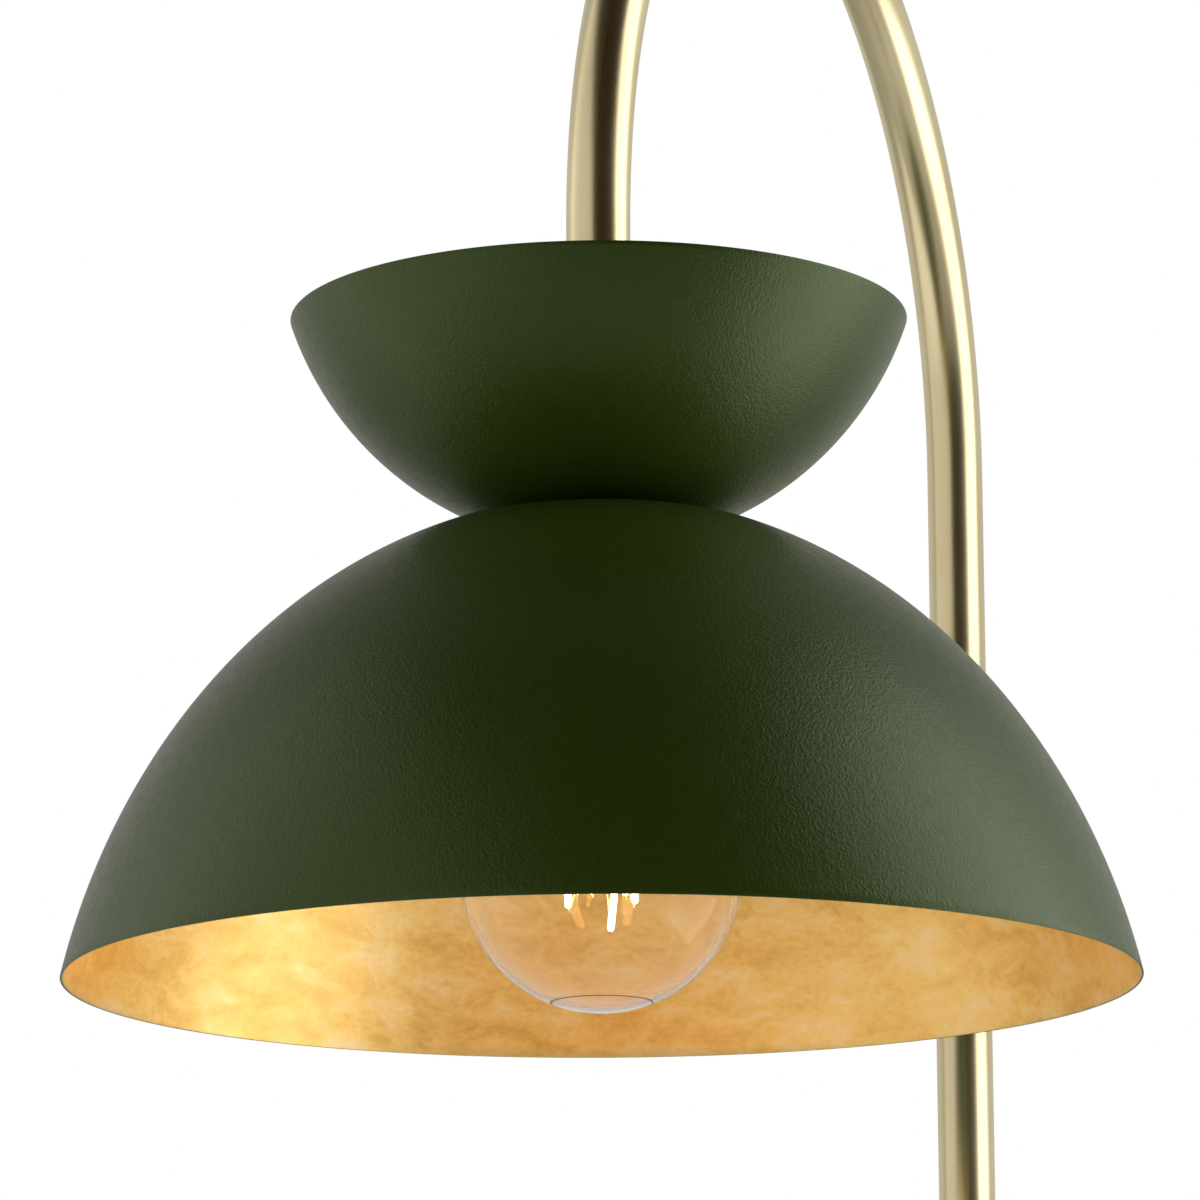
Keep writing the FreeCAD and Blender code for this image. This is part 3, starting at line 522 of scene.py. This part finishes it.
def softCorner(curve, radius):
    # the fillet between the curved wall and the flat, then the flat in to the hole
    corner = Vector(curve[-1])
    keptPoints = [p for p in curve if (Vector(p) - corner).length > radius]
    start = Vector(keptPoints[-1])
    end = Vector((corner.x - radius, corner.y))
    middle = []
    for step in range(1, shade["cornerPoints"] + 1):
        t = step / shade["cornerPoints"]
        middle.append(tuple(start * (1 - t) ** 2 + corner * 2 * t * (1 - t) + end * t ** 2))
    flat = [(end.x + (shade["hole"] - end.x) * t, corner.y) for t in (0.35, 0.7, 1.0)]
    return keptPoints + middle + flat


def shadePair(name, shape, node, body):
    low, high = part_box(node)
    rimRadius = (high.x - low.x) / 2
    rimLevel, flatLevel = (low.z, high.z) if shape["up"] > 0 else (high.z, low.z)
    axis = Vector(((low.x + high.x) / 2, 0, 0))

    def shell(pieceName, outset, inset, corner, finish):
        outer = softCorner(shadeCurve(shape, rimRadius, rimLevel, flatLevel, outset), corner)
        inner = softCorner(shadeCurve(shape, rimRadius, rimLevel, flatLevel, inset), corner)
        lip = []
        middle = (Vector(outer[0]) + Vector(inner[0])) / 2
        half = (Vector(outer[0]) - Vector(inner[0])).length / 2
        for step in range(1, shade["lipPoints"]):
            turn = math.pi * step / shade["lipPoints"]
            drop = shape["up"] * shade["lipRound"] * half * math.sin(turn)
            lip.append((middle.x - half * math.cos(turn), middle.y - drop))
        section = inner[::-1] + lip + outer
        if shape["up"] < 0:
            section = section[::-1]
        return lathe(pieceName, section, axis, finish, steps=shade["steps"], sharp=50)

    start = shade["skin"] + shade["gap"]
    skin = shell(name + "Skin", 0.0, shade["skin"], shade["skinCorner"], finishes["powder"])
    lining = shell(name + "Lining", start, start + shade["lining"], shade["liningCorner"], finishes["leaf"])
    standFor(skin, body, node)
    standFor(lining, body)


shadePair("dome", domeShape, "dome_shade", "head")
shadePair("bowl", bowlShape, "upper_bowl", "head")
print("shades turned")


# tubes: lower pole, upper pole and the arch

tube = {
    "outer": 11 * mm,
    "inner": 9.5 * mm,
    "lowerOuter": 14 * mm,
    "lowerInner": 12.5 * mm,
    "forkNeck": 24 * mm,    # how far the fork's neck goes up into the arch
    "bendPoints": 120,
    "endPoints": 4,
}


def upright(low, high, count=8):
    return [Vector((0, 0, low + (high - low) * step / count)) for step in range(count + 1)]


def archPath():
    low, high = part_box("arch_arm")
    bend = (high.x - low.x) / 2 - tube["outer"]
    spring = high.z - tube["outer"] - bend
    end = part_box("tilt_fork")[1].z - tube["forkNeck"]
    path = upright(low.z, spring)
    for step in range(1, tube["bendPoints"]):
        turn = math.pi * step / tube["bendPoints"]
        path.append(Vector((bend - bend * math.cos(turn), 0, spring + bend * math.sin(turn))))
    for step in range(tube["endPoints"] + 1):
        path.append(Vector((bend * 2, 0, spring + (end - spring) * step / tube["endPoints"])))
    return path


def brassTube(name, path, outer, inner, body, node):
    piece = sweptTube(name, path, outer, inner, finishes["tubeBrass"])
    standFor(piece, body, node)


def straightTube(name, outer, inner, body, node, count):
    low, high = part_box(node)
    brassTube(name, upright(low.z, high.z, count), outer, inner, body, node)


brassTube("archTube", archPath(), tube["outer"], tube["inner"], "arch", "arch_arm")
straightTube("upperPoleTube", tube["outer"], tube["inner"], "upper_pole", "upper_pole", 20)
straightTube("lowerPoleTube", tube["lowerOuter"], tube["lowerInner"], "base", "lower_pole", 30)
print("tubes drawn")


coil = {
    "turns": 38,
    "turnRadius": 4.5 * mm,
    "wire": 2.4 * mm,
    "ease": 1.5,            # turns over which each end winds out from the pole's axis
    "stepsPerTurn": 18,
    "sides": 12,
}


def coiledLead():
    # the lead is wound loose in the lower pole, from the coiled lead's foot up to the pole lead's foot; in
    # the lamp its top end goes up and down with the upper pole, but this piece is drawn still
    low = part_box("coiled_lead")[0].z
    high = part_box("pole_lead")[0].z
    count = coil["turns"] * coil["stepsPerTurn"]
    path = []
    for index in range(count + 1):
        t = index / count
        turn = math.tau * coil["turns"] * t
        reach = coil["turnRadius"] * min(1, min(t, 1 - t) * coil["turns"] / coil["ease"])
        path.append(Vector((reach * math.cos(turn), reach * math.sin(turn), low + (high - low) * t)))
    steps = coil["sides"]
    verts = []
    side = Vector((1, 0, 0))
    for index, point in enumerate(path):
        forward = (path[min(index + 1, count)] - path[max(index - 1, 0)]).normalized()
        side = (side - forward * side.dot(forward)).normalized()
        other = forward.cross(side)
        for step in range(steps):
            turn = math.tau * step / steps
            verts.append(point + (side * math.cos(turn) + other * math.sin(turn)) * coil["wire"])
    faces = [list(range(steps))[::-1], list(range(count * steps, (count + 1) * steps))]
    for index in range(count):
        for step in range(steps):
            near = index * steps
            following = (step + 1) % steps
            faces.append([near + step, near + following, near + steps + following, near + steps + step])
    lead = meshPiece("coiledLead", verts, faces, finishes["sheath"])
    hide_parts("coiled_lead")
    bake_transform(lead)


coiledLead()
print("lead coiled")


# base and pole trim

base = {
    "skin": 1.2 * mm,
    "bend": 6 * mm,          # radius of the cover's upper edge
    "bendPoints": 10,
    "hole": 6.3 * mm,
    "hem": 0.4 * mm,
}


def baseCover():
    low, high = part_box("base_cover")
    radius = (high.x - low.x) / 2
    centre = radius - base["bend"]
    flatWidth = centre - base["hole"]

    def bent(reach):
        points = []
        for step in range(base["bendPoints"] + 1):
            turn = math.pi / 2 * step / base["bendPoints"]
            points.append((centre + reach * math.cos(turn), high.z - base["bend"] + reach * math.sin(turn)))
        return points

    flatIn = [(base["hole"] + flatWidth * t, high.z - base["skin"]) for t in (0, 0.25, 0.5, 0.75)]
    flatOut = [(centre - flatWidth * t, high.z) for t in (0.25, 0.5, 0.75, 1.0)]
    hem = [(radius - base["skin"], low.z + base["hem"]), (radius - base["skin"] / 2, low.z),
           (radius, low.z + base["hem"])]
    section = flatIn + bent(base["bend"] - base["skin"])[::-1] + hem + bent(base["bend"]) + flatOut
    cover = lathe("baseCoverSpun", section, poleAxis, finishes["spunBase"], steps=256, sharp=50)
    standFor(cover, "base", "base_cover")


flange = {
    "bore": 14.02 * mm,
    "edge": 1.2 * mm,        # the foot's upright edge
    "flareLow": 1.6 * mm,
    "neckWall": 3 * mm,
    "flarePoints": 12,
    "soft": 0.25 * mm,
}


def poleFlange():
    low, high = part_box("pole_flange")
    outer = (high.x - low.x) / 2
    neck = flange["bore"] + flange["neckWall"]
    rise = high.z - low.z - flange["flareLow"]
    section = [(flange["bore"], low.z), (outer, low.z), (outer, low.z + flange["edge"])]
    for step in range(flange["flarePoints"] + 1):
        up = math.sin(math.pi / 2 * step / flange["flarePoints"])
        level = low.z + flange["flareLow"] + rise * up ** 1.5
        section.append((neck + (outer - neck) * (1 - up) ** 1.2, level))
    section.append((flange["bore"], high.z))
    section = rounded(section, flange["soft"], 3)
    turned = lathe("poleFlangeTurned", section, poleAxis, finishes["spunBase"], sharp=60)
    standFor(turned, "base", "pole_flange")


baseCover()
poleFlange()
print("base trimmed")


# lampholder

holder = {
    "bore": 5 * mm,
    "roof": 3 * mm,
    "inside": 18.5 * mm,
    "shoulder": [(0, 5 * mm), (1.2 * mm, 1.6 * mm), (5 * mm, 0)],    # in from the side, down from the top
    "skirtBore": 17 * mm,
    "groove": [(0, 3 * mm), (0.6 * mm, 3.4 * mm), (0.6 * mm, 4.4 * mm), (0, 4.8 * mm)],    # in, and up
    "tongue": 7 * mm,        # how far the skirt goes up into the cap
    "capSoft": 0.8 * mm,
    "skirtSoft": 0.4 * mm,
}


def lampholder():
    low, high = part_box("holder_cap")
    outer = (high.x - low.x) / 2
    section = [(holder["bore"], high.z - holder["roof"]), (holder["inside"], high.z - holder["roof"]),
               (holder["inside"], low.z), (outer, low.z)]
    section += [(outer - across, high.z - down) for across, down in holder["shoulder"]]
    section.append((holder["bore"], high.z))
    section = rounded(section, holder["capSoft"])
    cap = lathe("holderCapTurned", section, headAxis, finishes["spunHead"], sharp=60)
    standFor(cap, "head", "holder_cap")
    low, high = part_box("holder_skirt")
    step = high.z - holder["tongue"]
    section = [(holder["skirtBore"], low.z), (outer, low.z)]
    section += [(outer - across, low.z + up) for across, up in holder["groove"]]
    section += [(outer, step), (holder["inside"], step), (holder["inside"], high.z),
                (holder["skirtBore"], high.z)]
    section = rounded(section, holder["skirtSoft"])
    skirt = lathe("holderSkirtTurned", section, headAxis, finishes["spunHead"], sharp=60)
    standFor(skirt, "head", "holder_skirt")


lampholder()
print("lampholder turned")


# the view, which the bulb's filaments and the lights are set out from

view = {
    "azimuth": -159.116,      # heading of the view in the floor plane, degrees from +X
    "distance": 2.0407,       # camera to head axis
    "belowRim": 0.311,
    "pitch": 0.2130,
    "roll": -0.0047,
    "lens": 185.5,
    "sensor": 36,
    "clip": (0.05, 60),
}
heading = math.radians(view["azimuth"])
viewAhead = Vector((math.cos(heading), math.sin(heading), 0))
viewRight = Vector((viewAhead.y, -viewAhead.x, 0))


# bulb

bulb = {
    "wall": 0.8 * mm,
    "neck": 13.1 * mm,
    "neckRise": 7 * mm,        # the neck's straight part, inside the cap
    "shoulder": 48,            # degrees above the globe's middle where it starts to draw in
    "globePoints": 48,
    "shoulderPoints": 20,
    "ringRadius": 17 * mm,     # the plain ring printed at the globe's foot
    "ringWidth": 0.25 * mm,
    "ringLift": 0.04 * mm,     # a hair proud of the glass
    "ringHeight": 0.03 * mm,
    "filamentRadius": 1.15 * mm,
    "tipRing": 11.5 * mm,
    "topRing": 12.0 * mm,
    "twist": 20,               # degrees round the stem from each lower tip to its upper end
    "filamentTop": 54 * mm,    # above the dome's rim
    # each filament: its place round the stem in degrees, and its lower tip in mm above the rim
    "filaments": [(15, 15.4), (75, 25.9), (135, 30.6), (195, 31.5), (255, 25.5), (315, 28.3)],
}


def globeCurve(centre, radius, capLow, neck):
    # from the foot of the globe up to the neck, drawn in with a smooth shoulder
    points = []
    leave = math.radians(bulb["shoulder"])
    for step in range(bulb["globePoints"] + 1):
        turn = -math.pi / 2 + (math.pi / 2 + leave) * step / bulb["globePoints"]
        points.append((radius * math.cos(turn), centre + radius * math.sin(turn)))
    start = Vector(points[-1])
    tangent = Vector((-math.sin(leave), math.cos(leave)))
    end = Vector((neck, capLow))
    reach = (end - start).length
    first = start + tangent * reach * 0.42
    second = end + Vector((0, -1)) * reach * 0.45
    for step in range(1, bulb["shoulderPoints"] + 1):
        t = step / bulb["shoulderPoints"]
        points.append(tuple(start * (1 - t) ** 3 + first * 3 * t * (1 - t) ** 2
                            + second * 3 * t * t * (1 - t) + end * t ** 3))
    points.append((neck, capLow + bulb["neckRise"]))
    return points


def bulbGlass():
    low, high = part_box("bulb_glass")
    radius = (high.x - low.x) / 2
    centre = low.z + radius
    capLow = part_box("bulb_cap")[0].z
    outer = globeCurve(centre, radius, capLow, bulb["neck"])
    inner = globeCurve(centre, radius - bulb["wall"], capLow, bulb["neck"] - bulb["wall"])
    globe = lathe("bulbGlobe", outer + inner[::-1], headAxis, finishes["glass"], steps=128, sharp=60)
    standFor(globe, "head", "bulb_glass")
    globe.visible_shadow = False
    lift = radius + bulb["ringLift"]
    under = []
    for side in (-1, 1):
        across = bulb["ringRadius"] + side * bulb["ringWidth"]
        under.append((across, centre - math.sqrt(lift ** 2 - across ** 2)))
    over = [(across, level + bulb["ringHeight"]) for across, level in reversed(under)]
    ring = lathe("bulbPrintRing", under + over, headAxis, finishes["ink"], steps=128)
    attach(ring, "head")
    ring.visible_shadow = False


screwCap = {
    "turns": 5,
    "pointsPerTurn": 8,
    "root": 0.75 * mm,         # from the full radius in to the thread's root
    "thread": 0.35 * mm,       # half the thread's depth
    "sheet": 0.4 * mm,
    "edge": 0.5 * mm,
    "rim": 1.5 * mm,           # how far the cap reaches down over the neck
}


def bulbCap():
    low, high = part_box("bulb_cap")
    outer = (high.x - low.x) / 2
    count = screwCap["turns"] * screwCap["pointsPerTurn"]
    thread = []
    for step in range(count + 1):
        level = high.z - (high.z - low.z) * step / count
        wave = screwCap["thread"] * (1 - math.cos(math.tau * step / screwCap["pointsPerTurn"]))
        thread.append((outer - screwCap["root"] + wave, level))
    rimLevel = low.z - screwCap["rim"]
    rim = [(outer, rimLevel), (outer - screwCap["sheet"], rimLevel)]
    inside = [(across - screwCap["sheet"], level) for across, level in reversed(thread)]
    section = [(outer - screwCap["edge"], high.z)] + thread + rim + inside
    cap = lathe("bulbCapThreaded", section[::-1], headAxis, finishes["nickel"], steps=96, sharp=60)
    standFor(cap, "head", "bulb_cap")


stemShape = {
    # radius, and height above the stem's foot
    "foot": [(0, 0), (1.8 * mm, 0), (2.6 * mm, 1.5 * mm), (2.4 * mm, 4 * mm), (2.2 * mm, 16 * mm),
             (3.0 * mm, 21 * mm), (3.4 * mm, 27 * mm), (5.2 * mm, 36 * mm), (9.5 * mm, 42 * mm)],
    "flare": 11.2 * mm,
    "flareEdge": 1 * mm,
    "soft": 2 * mm,
}


def bulbStem():
    low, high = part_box("bulb_stem")
    section = [(across, low.z + up) for across, up in stemShape["foot"]]
    flare = stemShape["flare"]
    section += [(flare, high.z - stemShape["flareEdge"]), (flare, high.z), (0, high.z)]
    section = rounded(section, stemShape["soft"], 3)
    stem = lathe("bulbStemGlass", section, headAxis, finishes["stemGlass"], steps=48, sharp=70)
    standFor(stem, "head", "bulb_stem")
    stem.visible_shadow = False


def bar(start, end, radius, steps=16, rounds=3):
    # a straight rod with domed ends
    along = (end - start).normalized()
    anyWay = Vector((0.31, 0.77, 0.55))    # no rod lies along it
    side = along.cross(anyWay).normalized()
    other = along.cross(side)
    rows = []
    verts = [tuple(start)]
    stations = []
    for step in range(1, rounds + 1):
        turn = math.pi / 2 * step / rounds
        stations.append((start + along * radius * (1 - math.cos(turn)), radius * math.sin(turn)))
    for step in range(rounds, 0, -1):
        turn = math.pi / 2 * step / rounds
        stations.append((end - along * radius * (1 - math.cos(turn)), radius * math.sin(turn)))
    for point, wide in stations:
        rows.append(len(verts))
        for step in range(steps):
            turn = math.tau * step / steps
            verts.append(tuple(point + (side * math.cos(turn) + other * math.sin(turn)) * wide))
    verts.append(tuple(end))
    faces = []
    for step in range(steps):
        following = (step + 1) % steps
        faces.append([0, rows[0] + following, rows[0] + step])
        for low, high in zip(rows, rows[1:]):
            faces.append([low + step, low + following, high + following, high + step])
        faces.append([rows[-1] + step, rows[-1] + following, len(verts) - 1])
    return verts, faces


def barGroup(name, bars, finish, body):
    verts = []
    faces = []
    for start, end, radius in bars:
        someVerts, someFaces = bar(start, end, radius)
        shift = len(verts)
        verts += someVerts
        faces += [[index + shift for index in face] for face in someFaces]
    piece = meshPiece(name, verts, faces, finish, sharp=70)
    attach(piece, body)
    return piece


wiring = {
    "tabRadius": 0.28 * mm,
    "tabInside": 0.4 * mm,     # how far a tab goes into its filament
    "tabLow": 1.5 * mm,        # and how far it stands out, at the foot and at the head
    "tabHigh": 2.0 * mm,
    "wireLow": 1.4 * mm,       # where the wires leave the tabs
    "wireHigh": 1.8 * mm,
    "lowRadius": 0.16 * mm,
    "highRadius": 0.2 * mm,
    "lowHub": 51.5 * mm,       # where the lower wires meet, above the dome's rim
    "highHub": 5 * mm,         # where the upper wires meet, above the filaments
    "lowSpread": 1.2 * mm,
    "highSpread": 2.4 * mm,
    "postRadius": 1.0 * mm,
    "postDown": 12 * mm,
    "postUp": 3 * mm,
}


def bulbLights():
    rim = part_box("dome_shade")[0].z
    toCamera = math.radians(view["azimuth"] + 180)
    rods = []
    tabs = []
    wires = []
    up = Vector((0, 0, 1))
    lowHub = Vector((headAxis.x, 0, rim + wiring["lowHub"]))
    hub = Vector((headAxis.x, 0, rim + bulb["filamentTop"] + wiring["highHub"]))
    for place, tip in bulb["filaments"]:
        turn = toCamera + math.radians(place)
        out = Vector((math.cos(turn), math.sin(turn), 0))
        foot = Vector((headAxis.x, 0, rim + tip * mm)) + out * bulb["tipRing"]
        turn += math.radians(bulb["twist"])
        out = Vector((math.cos(turn), math.sin(turn), 0))
        head = Vector((headAxis.x, 0, rim + bulb["filamentTop"])) + out * bulb["topRing"]
        rods.append((foot, head, bulb["filamentRadius"]))
        along = (head - foot).normalized()
        inside = along * wiring["tabInside"]
        tabs.append((foot - along * wiring["tabLow"], foot + inside, wiring["tabRadius"]))
        tabs.append((head - inside, head + along * wiring["tabHigh"], wiring["tabRadius"]))
        highEnd = hub + out * wiring["highSpread"]
        wires.append((head + along * wiring["wireHigh"], highEnd, wiring["highRadius"]))
        lowEnd = lowHub + out * wiring["lowSpread"]
        wires.append((foot - along * wiring["wireLow"], lowEnd, wiring["lowRadius"]))
    wires.append((hub - up * wiring["postDown"], hub + up * wiring["postUp"], wiring["postRadius"]))
    glow = barGroup("bulbFilaments", rods, finishes["filament"], "head")
    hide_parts("bulb_filaments")
    hold = barGroup("bulbWires", tabs + wires, finishes["nickel"], "head")
    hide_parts("bulb_wires")


bulbGlass()
bulbCap()
bulbStem()
bulbLights()
print("bulb assembled")


# camera, lights and floor

def setCamera():
    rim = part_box("dome_shade")[0].z
    camera = bpy.data.objects.new("camera", bpy.data.cameras.new("camera"))
    bpy.context.collection.objects.link(camera)
    camera.data.lens = view["lens"]
    camera.data.sensor_width = view["sensor"]
    camera.data.clip_start, camera.data.clip_end = view["clip"]
    camera.location = headAxis - viewAhead * view["distance"] + Vector((0, 0, rim - view["belowRim"]))
    look = viewAhead * math.cos(view["pitch"]) + Vector((0, 0, math.sin(view["pitch"])))
    camera.rotation_mode = "QUATERNION"
    camera.rotation_quaternion = look.to_track_quat("-Z", "Y") @ Quaternion((0, 0, 1), view["roll"])
    bpy.context.scene.camera = camera


studio = {
    # side is metres to the right of the view; near and far are metres from the head's axis
    # towards and away from the camera
    "panels": {
        "rightPanel": {"side": 1.0, "near": 0.5, "far": 0.45, "low": 0.45, "high": 2.6,
                       "radiance": 1.9, "colour": (1.0, 1.0, 1.0)},
        "leftPanel": {"side": -1.1, "near": 3.0, "far": 0.5, "low": 0.45, "high": 2.9,
                      "radiance": 0.64, "colour": (1.0, 0.99, 0.97)},
    },
    "surround": 0.72,
    "surroundFrom": (-0.25, 0.55),    # cosine to the view where the pale sweep starts and is full
    "overhead": 0.35,
    "overheadFrom": (0.3, 0.9),       # the same, to straight up
    "behindCamera": (0.02, 0.0115, 0.003),
    "floorLight": 0.17,
    "floorReach": 6,
}


def panelLight(name, panel):
    # an upright soft panel beside the view
    lamp = bpy.data.lights.new(name, "AREA")
    lamp.shape = "RECTANGLE"
    lamp.size = panel["far"] + panel["near"]
    lamp.size_y = panel["high"] - panel["low"]
    lamp.energy = panel["radiance"] * math.pi * lamp.size * lamp.size_y
    lamp.color = panel["colour"]
    place = bpy.data.objects.new(name, lamp)
    bpy.context.collection.objects.link(place)
    across = viewRight * panel["side"] + viewAhead * (panel["far"] - panel["near"]) / 2
    place.location = headAxis + across + Vector((0, 0, (panel["low"] + panel["high"]) / 2))
    facing = viewRight if panel["side"] < 0 else -viewRight
    place.rotation_mode = "QUATERNION"
    place.rotation_quaternion = facing.to_track_quat("-Z", "Y")
    place.visible_camera = False


def mapped(nodes, links, source, low, high, fromLow, fromHigh):
    node = nodes.new("ShaderNodeMapRange")
    node.interpolation_type = "SMOOTHSTEP"
    node.inputs["From Min"].default_value = fromLow
    node.inputs["From Max"].default_value = fromHigh
    node.inputs["To Min"].default_value = low
    node.inputs["To Max"].default_value = high
    links.new(source, node.inputs["Value"])
    return node.outputs["Result"]


def setWorld():
    # white behind the lamp for the camera; for light and reflections a pale sweep ahead,
    # dark behind the camera and dimmer overhead
    world = bpy.data.worlds.new("studio")
    bpy.context.scene.world = world
    world.use_nodes = True
    nodes = world.node_tree.nodes
    links = world.node_tree.links
    nodes.clear()
    coord = nodes.new("ShaderNodeTexCoord").outputs["Generated"]
    dot = nodes.new("ShaderNodeVectorMath")
    dot.operation = "DOT_PRODUCT"
    dot.inputs[1].default_value = viewAhead
    links.new(coord, dot.inputs[0])
    sweep = mapped(nodes, links, dot.outputs["Value"], 0.0, studio["surround"], *studio["surroundFrom"])
    height = nodes.new("ShaderNodeSeparateXYZ")
    links.new(coord, height.inputs[0])
    roof = mapped(nodes, links, height.outputs["Z"], 1.0, studio["overhead"], *studio["overheadFrom"])
    level = nodes.new("ShaderNodeMath")
    level.operation = "MULTIPLY"
    links.new(sweep, level.inputs[0])
    links.new(roof, level.inputs[1])
    pale = nodes.new("ShaderNodeBackground")
    links.new(level.outputs[0], pale.inputs["Strength"])
    dim = nodes.new("ShaderNodeBackground")
    dim.inputs["Color"].default_value = (*studio["behindCamera"], 1)
    around = nodes.new("ShaderNodeAddShader")
    links.new(pale.outputs[0], around.inputs[0])
    links.new(dim.outputs[0], around.inputs[1])
    white = nodes.new("ShaderNodeBackground")
    white.inputs["Color"].default_value = (1, 1, 1, 1)
    ray = nodes.new("ShaderNodeLightPath")
    mix = nodes.new("ShaderNodeMixShader")
    links.new(ray.outputs["Is Camera Ray"], mix.inputs["Fac"])
    links.new(around.outputs[0], mix.inputs[1])
    links.new(white.outputs[0], mix.inputs[2])
    out = nodes.new("ShaderNodeOutputWorld")
    links.new(mix.outputs[0], out.inputs["Surface"])


def setFloor():
    floorFinish = plain("paleFloor", (0.80, 0.80, 0.79), (0.77, 0.77, 0.76), (0.55, 0.7), 120, 0.1 * mm)
    shader = floorFinish.node_tree.nodes["Principled BSDF"]
    shader.inputs["Emission Color"].default_value = (1, 1, 1, 1)
    shader.inputs["Emission Strength"].default_value = studio["floorLight"]
    reach = studio["floorReach"]
    corners = [(-reach, -reach, 0), (reach, -reach, 0), (reach, reach, 0), (-reach, reach, 0)]
    floor = meshPiece("floor", corners, [[0, 1, 2, 3]], floorFinish)


# every CAD part gets its finish, those that a finer piece stands for too

partFinishes = {
    "powder": ["dome_shade", "upper_bowl"],
    "tubeBrass": ["arch_arm", "upper_pole", "lower_pole"],
    "spunBase": ["base_cover", "pole_flange"],
    "spunHead": ["holder_cap", "holder_skirt"],
    "glass": ["bulb_glass"],
    "stemGlass": ["bulb_stem"],
    "filament": ["bulb_filaments"],
    "rubber": ["base_pad"],
    "iron": ["base_weight"],
    "phenolic": ["cord_gland", "bulb_insulator"],
    "steel": ["base_stem", "stem_washer", "stem_nut", "terminal_screws", "pole_foot", "stop_screw",
              "pivot_screws", "shade_nipple", "bowl_washer", "dome_washer", "nipple_nut"],
    "porcelain": ["terminal_block", "holder_core"],
    "nylon": ["guide_sleeve", "lock_pad", "pole_slide", "swivel_washer", "friction_washers"],
    "turnedBrass": ["pole_collar", "lock_knob", "swivel_spigot", "tilt_fork", "tilt_tongue", "holder_shell",
                    "holder_contact"],
    "nickel": ["bulb_contact", "bulb_cap", "bulb_wires"],
    "sheath": ["coiled_lead", "pole_lead", "arm_lead", "head_lead", "base_lead"],
}
for finish, names in partFinishes.items():
    for name in names:
        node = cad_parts[name]
        node.data.materials.clear()
        node.data.materials.append(finishes[finish])
print("parts finished:", sum(len(names) for names in partFinishes.values()))

setCamera()
for name, panel in studio["panels"].items():
    panelLight(name, panel)
setWorld()
setFloor()
bpy.context.scene.view_settings.view_transform = "Standard"
print("camera, lights and floor set")
